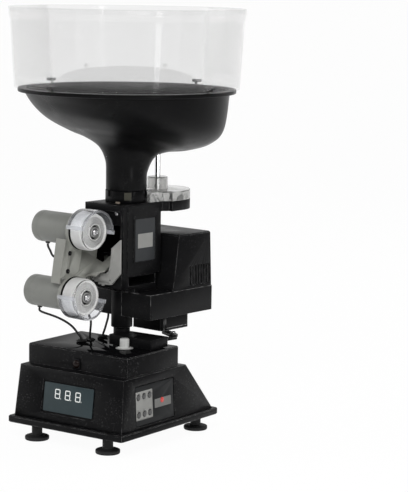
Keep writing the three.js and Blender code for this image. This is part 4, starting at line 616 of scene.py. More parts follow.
class FinishOperator(bpy.types.Operator):
    """Make every finish"""

    bl_idname = "robot.finishes"
    bl_label = "Finishes"

    def execute(self, context):
        c = context.scene.robot_colours
        # The grained casings carry painted glints on their grain's tips (the last argument).
        moulded("grained_black", tuple(c.black), 0.42, grain=0.0011, depth=0.00012, shine=0.08, tip_glint=0.022)
        moulded("base_black", tuple(c.gloss), 0.38, grain=0.0014, depth=0.00012, shine=0.09, lid=0.1345, tip_glint=0.05)
        moulded("satin_bowl", tuple(c.bowl), 0.34, grain=0.0007, depth=0.00003, shine=0.07)
        moulded("bowl_inside", tuple(c.bowl), 0.46, depth=0.00003, dust=0.02, shine=0.14)
        moulded("bracket_grey", tuple(c.bracket), 0.5, dust=0.02)
        moulded("motor_grey", tuple(c.motor), 0.42, grain=0.0005, depth=0.00002, dust=0.02)
        moulded("hinge_grey", tuple(c.hinge), 0.45, grain=0.0006, depth=0.00003, dust=0.02)
        moulded("label_grey", tuple(v * 0.95 for v in c.hinge), 0.5, depth=0.00002, dust=0.02)
        moulded("strip_grey", tuple(v * 0.58 for v in c.hinge), 0.5, depth=0.00002, dust=0.02)
        moulded("panel_dark", (0.022, 0.023, 0.024), 0.45, depth=0.00002, dust=0.02, shine=0.1)
        moulded("cap_black", tuple(c.black), 0.2, depth=0.00001, dust=0.01, shine=0.6, coat=0.5)
        moulded("label_dark", tuple(c.label), 0.4, depth=0.00002, dust=0.02, shine=0.3)
        moulded("hub_white", tuple(c.hub), 0.3, depth=0.00002, dust=0.02)
        moulded("knob_white", tuple(c.knob), 0.22, depth=0.00001, dust=0.02, coat=0.4)
        moulded("panel_teal", tuple(c.window), 0.3, depth=0.00001, dust=0.02, shine=0.2)
        moulded("lens_black", (0.005, 0.005, 0.006), 0.3, depth=0.00001, dust=0.01, shine=0.1)
        moulded("dome_brown", (0.010, 0.005, 0.004), 0.1, depth=0.00001, dust=0.0, coat=0.4, shine=0.0)
        moulded("board_green", tuple(c.board), 0.4, dust=0.03)
        moulded("stop_tan", (0.30, 0.25, 0.20), 0.4, depth=0.00002, dust=0.02)
        moulded("stop_olive", (0.050, 0.048, 0.034), 0.4, depth=0.00002, dust=0.02, shine=0.3)
        # Pale rounded edges of the casings: a painted highlight, partly rubbed wear.
        edge_highlight_and_wear("edge_highlight_and_wear", tuple(v + 0.012 for v in c.black))
        foam("white_foam", tuple(c.foam))
        clear("clear_plastic", (0.70, 0.70, 0.69), cloudy=0.12, thin=0.1)
        clear("collar_plastic", (0.885, 0.885, 0.885), thin=0.78, foot=0.5006)
        clear("disc_plastic", (0.93, 0.93, 0.93), cloudy=0.06)
        clear("guard_plastic", (0.88, 0.89, 0.915), cloudy=0.1)
        clear("hem_plastic", (0.80, 0.81, 0.83), cloudy=0.35)
        metal("bright_steel", tuple(c.steel), 0.16)
        rubber("feet_rubber", tuple(c.rubber))
        rubber("lead_sleeve", tuple(c.rubber), 0.4)
        lamp_red("red_cap", tuple(c.red))
        lit("lit_segment", (0.80, 0.82, 0.80), 0.35)
        return {"FINISHED"}


CASINGS = {
    "base_plate": ("base", "grained_black"),
    "base_shell": ("base", "base_black"),
    "sweep_knob": ("sweep_knob_body", "knob_white"),
    "pivot_bracket": ("base", "grained_black"),
    "power_jack": ("base", "grained_black"),
    "sweep_link": ("link", "grained_black"),
    "turret_tray": ("turret", "grained_black"),
    "rear_cover": ("turret", "grained_black"),
    "main_housing": ("turret", "grained_black"),
    "side_cover": ("turret", "grained_black"),
    "neck_sleeve": ("turret", "satin_bowl"),
    "gear_tray": ("turret", "grained_black"),
    "sweep_gearbox": ("turret", "grained_black"),
    "sweep_crank": ("crank", "grained_black"),
    "hinge_bracket": ("turret", "hinge_grey"),
    "head_bracket": ("head", "bracket_grey"),
}


# Casings whose long outer edges are rounded more.
BROAD = {"base_shell": 0.0016, "base_plate": 0.0014, "rear_cover": 0.0018, "turret_tray": 0.0016, "main_housing": 0.0012}


class CasingOperator(bpy.types.Operator):
    """Round the casings' edges and give them their finishes"""

    bl_idname = "robot.casings"
    bl_label = "Casings"

    def execute(self, context):
        casing = context.scene.robot_casing
        for node, (body, finish) in CASINGS.items():
            width = casing.fine_edge if node in ("sweep_knob", "power_jack", "neck_sleeve") else casing.edge
            # The grained casings' rounded edges are painted pale: a painted highlight along them, partly rubbed wear.
            wear_and_sheen = "edge_highlight_and_wear" if finish in ("grained_black", "base_black") else None
            dress(softened(f"{node}_dressed", node, width, broad=BROAD.get(node), wear_and_sheen=wear_and_sheen), body, finish, wear_and_sheen=wear_and_sheen)
        return {"FINISHED"}


# The bowl's outline from throat to rim: (radius, height) in front and behind.
FRONT_OUTLINE = np.array([(30.5, 398), (40, 418), (62, 434), (86, 447), (114, 464), (134, 482)]) / 1000
REAR_OUTLINE = np.array([(30.5, 376), (41, 396), (60, 402.5), (90, 403.5), (121, 411), (139.5, 432)]) / 1000
NECK_FOOT, NECK_STEP, NECK_RADIUS, NECK_FOOT_RADIUS = 0.3356, 0.353, 0.0292, 0.0278


class BowlOperator(bpy.types.Operator):
    """The ball bowl, shallow in front and deep behind"""

    bl_idname = "robot.bowl"
    bl_label = "Ball bowl"

    def execute(self, context):
        s = context.scene.robot_bowl
        turns = 144
        angle = np.linspace(0, TURN, turns, endpoint=False)
        share = ((1 + np.cos(angle)) / 2)[:, None, None]
        stations = REAR_OUTLINE * share + FRONT_OUTLINE * (1 - share)
        flange_bottom = s.flange_top - 0.0055
        top = np.broadcast_to([s.lip, flange_bottom], (turns, 1, 2))
        start = np.stack([np.full(turns, NECK_RADIUS), (stations[:, 0, 1] + NECK_STEP) / 2], axis=-1)[:, None]
        outer = spline(np.concatenate([start, stations, top], axis=1), 10)
        along = np.gradient(outer, axis=1)
        along /= np.linalg.norm(along, axis=2)[..., None]
        inner = outer + np.stack([-along[..., 1], along[..., 0]], axis=-1) * s.wall

        def at(*points):
            return np.broadcast_to(np.array(points, float), (turns, len(points), 2))

        bore = NECK_FOOT_RADIUS - s.wall
        foot = at(
            (bore, NECK_FOOT),
            (NECK_FOOT_RADIUS - 0.0006, NECK_FOOT),
            (NECK_FOOT_RADIUS, NECK_FOOT + 0.0006),
            (NECK_FOOT_RADIUS, NECK_STEP - 0.0004),
            (NECK_RADIUS - 0.0004, NECK_STEP),
            (NECK_RADIUS, NECK_STEP + 0.0006),
        )
        e = 0.0009
        rim = at(
            (s.lip + 0.0006, flange_bottom + 0.00002),
            (s.flange - e, flange_bottom),
            (s.flange - e * 0.3, flange_bottom + e * 0.3),
            (s.flange, flange_bottom + e),
            (s.flange, s.flange_top - e),
            (s.flange - e * 0.3, s.flange_top - e * 0.3),
            (s.flange - e, s.flange_top),
            (s.mouth + e, s.flange_top),
            (s.mouth, s.flange_top - e),
        )
        inner_neck = np.stack([np.full(turns, bore), inner[:, 2, 1]], axis=-1)[:, None]
        section = np.concatenate([foot, outer[:, :-1], rim, inner[:, 3:-3][:, ::-1], inner_neck], axis=1)
        sine, cosine = np.sin(angle)[:, None], np.cos(angle)[:, None]
        grid = np.stack([section[..., 0] * sine, section[..., 0] * cosine, section[..., 1]], axis=-1)
        quads = grid_quads(turns, section.shape[1], wrap_rows=True, wrap_columns=True)
        bowl = finish_mesh("ball_bowl", on_turret(grid), quads, sharp=40)
        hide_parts("hopper_bowl")
        dress(bowl, "turret", "satin_bowl", wear_and_sheen="bowl_inside")
        faces = bowl.data.polygons
        middle, facing = np.empty(len(faces) * 3), np.empty(len(faces) * 3)
        faces.foreach_get("center", middle)
        faces.foreach_get("normal", facing)
        outwards = (middle * facing).reshape(-1, 3)[:, :2].sum(axis=1)
        faces.foreach_set("material_index", (outwards < -0.0005).astype(np.int32))
        return {"FINISHED"}


class CollarOperator(bpy.types.Operator):
    """The clear collar that holds the balls in, with its turned foot, flare and lip"""

    bl_idname = "robot.collar"
    bl_label = "Clear collar"

    def execute(self, context):
        low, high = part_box("clear_collar")
        wall = context.scene.robot_bowl.collar_wall
        foot, top = low[2], high[2]
        outline = [
            (0.146, foot), (0.160, foot), (0.1654, 0.592), (0.1682, 0.604), (0.1682, top),
            (0.1682 - wall, top), (0.1682 - wall, 0.6051), (0.1654 - wall, 0.5931),
            (0.160 - wall, foot + 0.0026), (0.146, foot + 0.0026),
        ]
        radii = [0.0003, 0.0008, 0.004, 0.003, 0.0006, 0.0006, 0.003, 0.004, 0.001, 0.0003]
        collar = turned_piece("collar_shell", outline, radii, on_turret, 192, closed=True)
        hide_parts("clear_collar")
        dress(collar, "collar", "collar_plastic")
        return {"FINISHED"}


class TrainOperator(bpy.types.Operator):
    """The stirrer's clear cover and cup, its gears and the clips on the collar"""

    bl_idname = "robot.train"
    bl_label = "Stirrer drive"

    def execute(self, context):
        edge = context.scene.robot_casing.fine_edge
        dress(softened("gear_cover_dressed", "gear_cover", 0.0012, 3), "turret", "clear_plastic")
        dress(softened("stirrer_gear_dressed", "stirrer_gear", 0.0001), "stirrer", "hub_white")
        dress(softened("motor_pinion_dressed", "motor_pinion", 0.0001), "pinion", "hub_white")
        for k in range(1, 5):
            dress(softened(f"clip_{k}_dressed", f"clip_{k}", edge), "collar", "satin_bowl")
        low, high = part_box("shaft_cup")
        centre = turned_about(np.add(low, high) / 2, 2, -TURRET_YAW)
        r, z0, z1, wall = 0.0152, low[2], high[2], 0.0018
        bore = 0.0047
        cup = turned_piece(
            "cup_shell",
            [(r - wall, z0), (r, z0), (r, z1), (bore, z1), (bore, z1 - wall), (r - wall, z1 - wall)],
            [0.0003, 0.0003, 0.0022, 0.0003, 0.0003, 0.0012],
            on_turret, 64, closed=True, centre=(centre[0], centre[1], 0),
        )
        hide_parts("shaft_cup")
        dress(cup, "turret", "clear_plastic")
        return {"FINISHED"}


class WheelOperator(bpy.types.Operator):
    """The two foam wheels: core, tyre, clear disc, boss and nut, with a pale ring painted as a highlight on the lip and
    a dark ring painted as shade in the well
    """

    bl_idname = "robot.wheels"
    bl_label = "Wheels"

    def execute(self, context):
        w = context.scene.robot_wheel
        inner, front, face = w.radius - w.depth, w.front, w.face
        core, ring, boss, nut = inner - 0.0003, 0.0104, 0.0072, 0.0052
        well, dip, disc = face - 0.0050, face - 0.0014, front + 0.0003
        # Each piece: its outline of (radius, place along the shaft), its corners' easing, closed or not, its looks
        pieces = {
            "foam": (
                [(inner, w.back), (w.radius, w.back), (w.radius, front), (inner, front)],
                [0.0004, 0.0024, 0.0024, 0.0004], True, "white_foam", "white_foam",
            ),
            "core": (
                [(0, -0.0374), (0.0026, -0.0374), (0.0026, w.back + 0.0022), (core, w.back + 0.0022), (core, front),
                 (ring, front), (ring, well), (boss, well), (boss, face + 0.0006), (0.0060, face + 0.0006),
                 (0.0060, dip), (0, dip)],
                [0, 0.0002, *[0.0003] * 6, 0.0004, 0.0003, 0.0002, 0], False, "hub_white", "hub_plastic",
            ),
            "disc": (
                [(0.0120, disc), (w.disc, disc), (w.disc, face), (0.0120, face)],
                [0.0002, 0.0005, 0.0010, 0.0003], True, "disc_plastic", "clear_plastic",
            ),
            # A pale ring on the lip round the well, of the core's plastic in a paler finish: painted highlight on that
            # lip.
            "ring": (
                [(ring, disc), (0.0119, disc), (0.0119, face + 0.0007), (ring, face + 0.0007)],
                [0.0002, 0.0002, 0.0005, 0.0005], True, "knob_white", "hub_plastic",
            ),
            # A dark ring on the well's floor, in the leads' rubber finish: painted shade in the recess.
            "well": (
                [(boss + 0.0001, well), (ring - 0.0001, well), (ring - 0.0001, well + 0.0004), (boss + 0.0001, well + 0.0004)],
                [0.0001] * 4, True, "lead_sleeve", "rubber_black",
            ),
            "nut": (
                [(0, dip - 0.0004), (nut, dip - 0.0004), (nut, face + 0.0022), (0.0040, face + 0.0038),
                 (0.0024, face + 0.0038), (0.0020, face + 0.0026), (0, face + 0.0026)],
                [0, 0.0002, 0.0008, 0.0006, 0.0004, 0.0002, 0], False, "bright_steel", "bright_steel",
            ),
        }
        for name, side in (("upper", 1), ("lower", -1)):
            for part, (outline, radii, closed, finish, slot) in pieces.items():
                obj = turned_piece(
                    f"{name}_wheel_{part}", outline, radii, on_head, FULL_CIRCLE,
                    closed=closed, lay=along_x, centre=(0, 0, side * WHEEL_OFFSET), steps=5,
                )
                if part == "foam":
                    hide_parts(f"{name}_tyre")
                elif part == "core":
                    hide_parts(f"{name}_hub")
                dress(obj, f"{name}_wheel", finish)
        return {"FINISHED"}


class MotorOperator(bpy.types.Operator):
    """The two wheel motors, round cans with a soft far end and a cable gland"""

    bl_idname = "robot.motors"
    bl_label = "Motors"

    def execute(self, context):
        w = context.scene.robot_wheel
        front = w.motor_front
        tail = front - w.motor_length
        r = w.motor_radius
        for name, side in (("upper", 1), ("lower", -1)):
            centre = (0, 0, side * WHEEL_OFFSET)
            outline = [
                (0, tail + 0.0003), (0.0125, tail + 0.0003), (0.0135, tail), (r, tail), (r, tail + 0.0125),
                (r - 0.0003, tail + 0.0128), (r - 0.0003, tail + 0.0134), (r, tail + 0.0137),
                (r, front), (0.0078, front), (0.0078, front + 0.0018), (0.0029, front + 0.0018),
                (0.0029, front - 0.0138), (0, front - 0.0138),
            ]
            radii = [0, 0.0004, 0.0004, 0.0056, 0.0001, 0.0001, 0.0001, 0.0001, 0.0008, 0.0003, 0.0003, 0.0002, 0.0002, 0]
            can = turned_piece(f"{name}_can", outline, radii, on_head, FULL_CIRCLE, lay=along_x, centre=centre, steps=6)
            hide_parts(f"{name}_motor")
            dress(can, "head", "motor_grey")
            foot = side * WHEEL_OFFSET - r
            gland = turned_piece(
                f"{name}_gland",
                [(0, foot + 0.002), (0.0036, foot + 0.002), (0.0036, foot - 0.0006), (0.0028, foot - 0.002), (0, foot - 0.002)],
                [0, 0.0004, 0.0004, 0.0004, 0],
                on_head, 32, centre=(front - w.motor_length + 0.0168, 0, 0),
            )
            dress(gland, "head", "feet_rubber")
        return {"FINISHED"}


class GuardOperator(bpy.types.Operator):
    """The clear half-round guards over the wheels"""

    bl_idname = "robot.guards"
    bl_label = "Guards"

    def execute(self, context):
        w = context.scene.robot_wheel
        r, wall, front, back = w.guard_radius, w.guard_wall, 0.0148, -0.0171
        bore, seat, seat_top = 0.0250, 0.0272, -0.0172
        shell_line = eased(
            [(r - wall, back), (r, back), (r, front), (0.0286, front), (0.0286, front - 0.0018), (r - wall, front - 0.0018)],
            [0.0003, 0.0009, 0.0008, 0.0004, 0.0003, 0.0004], 4, closed=True,
        )
        rear = r - wall - 0.0001
        back_line = eased([(bore, back), (rear, back), (rear, back + 0.0012), (bore, back + 0.0012)], 0.0003, 3, closed=True)
        for name, side in (("upper", 1), ("lower", -1)):
            shell = self.half_turn(f"{name}_guard_shell", shell_line, side)
            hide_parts(f"{name}_guard")
            dress(shell, "head", "guard_plastic")
            # A black half ring at the guard's back: painted shade behind the tyre, seen through the clear wall.
            dress(self.half_turn(f"{name}_guard_back_shade", back_line, side), "head", "grained_black")
            # A black ring on the seat behind the tyre: painted shade in the gap between them.
            ring = turned_piece(
                f"{name}_seat_shade_ring", [(0.012, -0.0175), (seat, -0.0175), (seat, seat_top), (0.012, seat_top)],
                0.0001, on_head, closed=True, lay=along_x, centre=(0, 0, side * WHEEL_OFFSET), steps=2,
            )
            dress(ring, "head", "grained_black")
            # A thicker band along each cut edge
            low, high = sorted((0, side * 0.0056))
            for end, y in (("front", -1), ("rear", 1)):
                near, far = sorted((y * (r - 0.0002), y * (r + 0.0018)))
                hem = slab(
                    f"{name}_guard_hem_{end}", rounded_box_outline(back, front, near, far, 0.0006), low, high,
                    lambda p, side=side: on_head(p + np.array([0, 0, side * WHEEL_OFFSET])),
                )
                dress(hem, "head", "hem_plastic")
        return {"FINISHED"}

    @staticmethod
    def half_turn(name, profile, side):
        """A profile of (radius, place along the shaft) carried over half a turn on the wheel's outer side."""
        steps, count = 65, len(profile)
        angle = np.linspace(0, math.pi, steps)[:, None] * side
        along = np.broadcast_to(profile[:, 1], (steps, count))
        grid = np.stack([along, profile[:, 0] * np.cos(angle), profile[:, 0] * np.sin(angle)], axis=-1)
        faces = [list(q) for q in grid_quads(steps, count)]
        faces += [list(range(count)), list(range((steps - 1) * count, steps * count))]
        return finish_mesh(name, on_head(grid + np.array([0, 0, side * WHEEL_OFFSET])), faces)


class FootOperator(bpy.types.Operator):
    """The four screw feet with their rubber pads"""

    bl_idname = "robot.feet"
    bl_label = "Feet"

    def execute(self, context):
        for k in range(1, 5):
            low, high = (np.array(corner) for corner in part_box(f"foot_{k}"))
            x, y = (low[:2] + high[:2]) / 2
            top, pad = high[2], (high[0] - low[0]) / 2
            outline = [
                (0, 0), (pad - 0.0006, 0), (pad, 0.0012), (pad, 0.0050), (0.0135, 0.0064), (0.0082, 0.0066),
                (0.0075, 0.0082), (0.0075, 0.0221), (0.003, 0.0222), (0.003, top), (0, top),
            ]
            radii = [0, 0.0003, 0.0006, 0.0011, 0.001, 0.0008, 0.001, 0.0008, 0.0003, 0.0004, 0]
            foot = turned_piece(f"foot_{k}_pad", outline, radii, on_base, 64, centre=(x, y, 0))
            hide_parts(f"foot_{k}")
            dress(foot, f"foot_{k}_body", "feet_rubber")
        return {"FINISHED"}


# Faces of the base: an origin, the way across and the way up; out is square to both.


def sloping_face(low, high, across):
    """A sloping face's frame from a point at its foot and one at its head."""
    low, high, across = (np.array(v, float) for v in (low, high, across))
    up = (high - low) / np.linalg.norm(high - low)
    return low, across, up, np.cross(across, up)


FRONT_FACE = sloping_face((0, -0.132, 0.0328), (0, -0.1233, 0.1058), (1, 0, 0))
RIGHT_FACE = sloping_face((0.0976, 0, 0.0328), (0.0938, 0, 0.1058), (0, 1, 0))


def onto(face):
    """Carries points (across, up, out) of a face's own frame to the object's."""
    origin, across, up, out = face
    return lambda p: origin + p[..., :1] * across + p[..., 1:2] * up + p[..., 2:] * out


# The seven bars of a digit: (across, up, lies level), in halves of its width and of its height.
BARS = [
    (0, 2, True), (0, 1, True), (0, 0, True),
    (-1, 1.5, False), (1, 1.5, False), (-1, 0.5, False), (1, 0.5, False),
]


def bar_outline(centre, size, level):
    """A lit bar: a six-sided lozenge with pointed ends, level or upright."""
    long, thick = size
    shape = np.array([(-1, 0), (-1, 0.5), (1, 0.5), (1, 0), (1, -0.5), (-1, -0.5)], float)
    shape[:, 0] *= (long - thick) / 2
    shape[[0, 3], 0] = [-long / 2, long / 2]
    shape[:, 1] *= thick
    return (shape if level else shape[:, ::-1]) + centre


class DisplayOperator(bpy.types.Operator):
    """The display's window and three lit digits"""

    bl_idname = "robot.display"
    bl_label = "Display"

    def execute(self, context):
        place = onto(FRONT_FACE)
        middle = np.array([-0.001, 0.0344])
        face = -0.0003
        dress(softened("display_dressed", "display_panel", 0.0004), "base", "panel_teal")
        wide, high, thick = 0.0080, 0.0124, 0.0014
        foot = middle[1] + 0.0060 - high / 2
        for k, x in enumerate((-0.0194, -0.0012, 0.0172)):
            outlines = []
            for sx, sy, level in BARS:
                centre = np.array([middle[0] + x + sx * wide / 2, foot + sy * high / 2])
                outlines.append(bar_outline(centre, (wide if level else high / 2, thick), level))
            outlines.append(bar_outline(np.array([middle[0] + x + wide / 2 + 0.0021, foot]), (0.0016, 0.0014), True))
            self.digit(f"display_digit_{k + 1}", outlines, face, place)
        return {"FINISHED"}

    def digit(self, name, outlines, height, place):
        """One digit: its bars and point as thin plates in one mesh."""
        vertices, faces = [], []
        for outline in outlines:
            count = len(outline)
            start = sum(len(v) for v in vertices)
            grid = np.concatenate(
                [np.column_stack([outline, np.full(count, z)]) for z in (height - 0.0001, height + 0.0002)]
            )
            vertices.append(grid)
            sides = grid_quads(2, count) + start
            faces += [list(q) for q in sides]
            faces += [list(range(start, start + count))[::-1], list(range(start + count, start + 2 * count))]
        obj = finish_mesh(name, place(np.concatenate(vertices)), faces)
        dress(obj, "base", "lit_segment")


class ControlOperator(bpy.types.Operator):
    """The control panel with its button block, blank strip and push buttons"""

    bl_idname = "robot.controls"
    bl_label = "Controls"

    def execute(self, context):
        place = onto(RIGHT_FACE)
        up = 0.0321
        dress(softened("control_panel_dressed", "control_panel", 0.0004), "base", "panel_dark")
        front = -0.0005
        self.frame_plate("button_block", place, front)
        strip = slab(
            "blank_strip",
            rounded_box_outline(-0.0545, -0.0165, up - 0.0085, up - 0.0065 + 0.0105, 0.0012),
            front - 0.0002, front + 0.0004, place, 0.00015,
        )
        dress(strip, "base", "strip_grey")
        for k in range(1, 7):
            self.cap(f"button_{k}", "cap_black", "black_plastic")
        self.cap("power_button", "red_cap", "red_plastic")
        return {"FINISHED"}

    def frame_plate(self, name, place, front):
        """The pale plate round the six buttons, with a round hole for each."""
        centres = np.array([(-0.0915 + c * 0.0127, 0.0449 - r * 0.0248) for c in range(3) for r in range(2)])
        x0, x1, y0, y1 = -0.0975, -0.0600, 0.0125, 0.0525
        rows = []
        for k, (x, y) in enumerate(centres):
            # Each hole's own cell: a square grid from the hole's rim to the cell's edge
            column, row = divmod(k, 2)
            left = x0 if column == 0 else x - 0.00635
            right = x1 if column == 2 else x + 0.00635
            low = (y0 + y1) / 2 if row == 0 else y0
            high = y1 if row == 0 else (y0 + y1) / 2
            rows.append(self.cell(np.array([x, y]), left, right, low, high))
        vertices = np.concatenate([r[0] for r in rows])
        offsets = np.cumsum([0] + [len(r[0]) for r in rows[:-1]])
        faces = np.concatenate([r[1] + o for r, o in zip(rows, offsets)])
        low = np.column_stack([vertices, np.full(len(vertices), front - 0.0001)])
        obj = finish_mesh(name, place(low), faces.tolist())
        solid = obj.modifiers.new("thickness", "SOLIDIFY")
        solid.thickness = 0.0007
        solid.offset = 1
        dress(obj, "base", "label_grey")

    @staticmethod
    def cell(centre, left, right, low, high, radius=0.0046, count=48):
        """A rectangle with a round hole: rings of points between the circle and the rectangle's edge."""
        angle = np.linspace(0, TURN, count, endpoint=False) + TURN / (2 * count)
        way = np.column_stack([np.cos(angle), np.sin(angle)])
        reach_x = np.where(way[:, 0] > 0, (right - centre[0]), (centre[0] - left)) / np.maximum(np.abs(way[:, 0]), 1e-9)
        reach_y = np.where(way[:, 1] > 0, (high - centre[1]), (centre[1] - low)) / np.maximum(np.abs(way[:, 1]), 1e-9)
        reach = np.minimum(reach_x, reach_y)[:, None]
        rings = np.stack([centre + way * (radius + (reach - radius) * share) for share in (0, 0.5, 1)])
        corners = np.array([(left, low), (right, low), (right, high), (left, high)])
        outer = rings[2]
        for corner in corners:
            outer[np.argmin(np.linalg.norm(outer - corner, axis=1))] = corner
        return rings.reshape(-1, 2), grid_quads(3, count)

    def cap(self, node, finish, slot):
        body = f"{node}_body"
        dress(softened(f"{node}_cap", node, 0.0004, 3), body, finish)


class KnobOperator(bpy.types.Operator):
    """The knob's bezel, the grommets with their skirts and the receiver with its dome"""

    bl_idname = "robot.knob"
    bl_label = "Knob and fittings"

    def execute(self, context):
        dress(softened("receiver_dressed", "ir_receiver", 0.0003), "base", "lens_black")
        arc = np.linspace(0, math.pi / 2, 12)
        dome = [(0.0059 * math.cos(a), 0.0036 * math.sin(a)) for a in arc]
        eye = turned_piece(
            "receiver_dome", [(0, -0.0003), (0.0059, -0.0003), *dome[:-1], (0, 0.0036)], 0.00005, on_base, 48,
            lay=forwards, centre=(0, -0.1110, 0.1156), steps=2,
        )
        dress(eye, "base", "dome_brown")
        for k in range(1, 4):
            dress(softened(f"grommet_{k}_dressed", f"grommet_{k}", 0.0004, 3), "base", "feet_rubber")
            skirt = turned_piece(
                f"grommet_{k}_skirt",
                [(0.0053, BASE_TOP), (0.0077, BASE_TOP), (0.0077, BASE_TOP + 0.0005), (0.0053, BASE_TOP + 0.0019)],
                0.0002, on_base, 48, closed=True, centre=(*np.array(GROMMETS[k - 1]) / 1000, 0),
            )
            dress(skirt, "base", "feet_rubber")
        dial = turned_piece(
            "knob_bezel",
            [(0.0101, BASE_TOP), (0.0125, BASE_TOP), (0.0125, BASE_TOP + 0.0006), (0.0101, BASE_TOP + 0.0014)],
            0.0002, on_base, 96, closed=True, centre=(0.041, -0.054, 0),
        )
        dress(dial, "base", "hub_white")
        return {"FINISHED"}


# The leads' routes, repeated from the solids: points in the frame's axes.
LOWER_ROUTE = [(-72.4, -69, 168.8), (-60, -61, 161.7), (-51, -55.6, 153.9), (-44.4, -52.1, 144.4)]
UPPER_ROUTE = [
    (-81.7, -69.8, 264.3), (-73.7, -74.2, 256.8), (-50.6, -61.8, 245), (-34.8, -53.2, 222),
    (-29.3, -47.6, 190), (-27.4, -44.4, 163.3), (-30.7, -41.4, 153.4), (-33.8, -38.5, 142.2),
]
FEED_ROUTE = [(-27.1, -4.5, 206), (-27.1, -4.5, 168.1), (-30.4, -3.9, 157.1), (-34.9, -4.6, 142)]
GROMMETS = [(-39.9, -50.2), (-36.7, -34.8), (-37.9, -3.3)]


def relaxed(path, passes=40):
    """A path with evenly spaced points, smoothed: each point moves half way to the middle of its neighbours."""
    along = np.concatenate([[0], np.cumsum(np.linalg.norm(np.diff(path, axis=0), axis=1))])
    even = np.linspace(0, along[-1], len(path))
    path = np.stack([np.interp(even, along, path[:, axis]) for axis in range(3)], axis=1)
    for _ in range(passes):
        path[1:-1] += (path[:-2] + path[2:] - 2 * path[1:-1]) / 4
    return path


class LeadOperator(bpy.types.Operator):
    """The leads from the motors and the feed drive down into the base"""

    bl_idname = "robot.leads"
    bl_label = "Leads"

    def execute(self, context):
        for node, route, grommet, side in (
            ("lead_lower_motor", LOWER_ROUTE, GROMMETS[0], -1),
            ("lead_upper_motor", UPPER_ROUTE, GROMMETS[1], 1),
            ("lead_feed", FEED_ROUTE, GROMMETS[2], 0),
        ):
            self.lead(context, node, np.array(route) / 1000, np.array(grommet) / 1000, side)
        return {"FINISHED"}

    def lead(self, context, node, route, grommet, side):
        """One lead: straight out of its gland, along its route and straight down through its grommet."""
        radius = context.scene.robot_lead.radius
        w = context.scene.robot_wheel
        entry = np.array([[*grommet, BASE_TOP + rise] for rise in (0.0049, -0.0001, -0.0071)])
        if side:
            gland = side * WHEEL_OFFSET - w.motor_radius - 0.002
            x = w.motor_front - w.motor_length + 0.0168
            start = on_head(np.array([(x, 0, gland - 0.0003), (x, 0, gland - 0.005)]))
            route = np.concatenate([start, route, entry])
        else:
            route = np.concatenate([route, entry])
        path = spline(route, 16)
        joint = path[12 * 4 if side > 0 else 10 * 4]
        path = relaxed(path)
        if not side:
            self.tube(node, f"{node}_run", path, radius, "turret", (route[1] + route[2]) / 2 + [0, 0, 0.004], entry[0])
            return
        # The path is cut in two at the joint: a near stretch from the gland and a far stretch down to the grommet
        split = int(np.argmin(np.linalg.norm(path - joint, axis=1)))
        near, far = path[: split + 1], path[split:]
        upper = self.tube(node, f"{node}_near", near, radius, None, near[0], near[-1])
        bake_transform(upper)
        self.tube(None, f"{node}_far", far, radius, "turret", far[0], entry[0])

    def tube(self, node, name, path, radius, body, start, end):
        grid, faces = swept(path, radius, 14)
        obj = finish_mesh(name, grid, faces, sharp=60)
        obj.data.materials.append(Finish.made["lead_sleeve"])
        if node:
            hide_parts(node)
        if body:
            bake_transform(obj)
        return obj


class ScrewOperator(bpy.types.Operator):
    """Small screws, the label plates on the side cover and other trim"""

    bl_idname = "robot.trim"
    bl_label = "Screws and trim"

    def execute(self, context):
        right = 0.0375
        label = slab(
            "side_label", rounded_box_outline(-0.0200, 0.0208, 0.2537, 0.3143, 0.0016),
            right - 0.0008, right - 0.0003, on_turret, 0.0002, sideways,
        )
        dress(label, "turret", "label_dark")
        block = slab(
            "side_label_block", rounded_box_outline(-0.0150, 0.0160, 0.2725, 0.2930, 0.0006),
            right - 0.0004, right + 0.0001, on_turret, 0.0001, sideways,
        )
        dress(block, "turret", "label_grey")
        self.screw("housing_lock_screw", (0.0149, -0.0356, 0.3223), 0.0034, "y", on_turret, "turret")
        self.screw("crank_bolt", (0.0546, 0.0438, 0.1457), 0.0036, "z", on_turret, "crank")
        for k, z in enumerate((0.0128, -0.0128)):
            self.screw(f"plate_screw_{k + 1}", (-0.0204, -0.0154, z), 0.0035, "x", on_head, "head", "lens_black")
        # Two small blocks at the foot of the neck's sleeve
        block = slab(
            "sleeve_stop", rounded_box_outline(0.0112, 0.0176, -0.0345, -0.0316, 0.0004), 0.3360, 0.3385, on_turret, 0.0003
        )
        dress(block, "turret", "stop_tan")
        window = slab(
            "sleeve_window", rounded_box_outline(-0.0051, 0.0051, 0.3400, 0.3512, 0.0005), 0.0288, 0.0303,
            lambda p: on_turret(turned_about(forwards(p), 2, math.radians(47))), 0.0003,
        )
        dress(window, "turret", "stop_olive")
        return {"FINISHED"}

    def screw(self, name, place, radius, way, on, body, finish="bright_steel"):
        """A pan-head screw: a low dome with a round socket turned in its middle, facing +X, -Y or up."""
        outline = [
            (0, -0.0006), (radius * 1.0, -0.0006), (radius, radius * 0.3), (radius * 0.55, radius * 0.55),
            (radius * 0.42, radius * 0.55), (radius * 0.38, radius * 0.2), (0, radius * 0.2),
        ]
        radii = [0, 0.0001, radius * 0.3, radius * 0.1, 0.0001, 0.0001, 0]
        lay = {"x": along_x, "y": forwards, "z": None}[way]
        obj = turned_piece(name, outline, radii, on, 28, lay=lay, centre=place)
        dress(obj, body, finish)


# CAD nodes that keep their own shape and only take a finish.
KEPT = {
    "circuit_board": "board_green",
    "feed_gearmotor": "motor_grey",
    "feed_wheel": "hub_white",
    "stirrer_motor": "motor_grey",
    "stirrer_shaft": "bright_steel",
    "tilt_pin": "bright_steel",
}


class KeptOperator(bpy.types.Operator):
    """Give the remaining solids their finishes"""

    bl_idname = "robot.kept"
    bl_label = "Other pieces"

    def execute(self, context):
        for node, finish in KEPT.items():
            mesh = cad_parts[node].data
            material = Finish.made[finish]
            if mesh.materials:
                for k in range(len(mesh.materials)):
                    mesh.materials[k] = material
            else:
                mesh.materials.append(material)
        return {"FINISHED"}


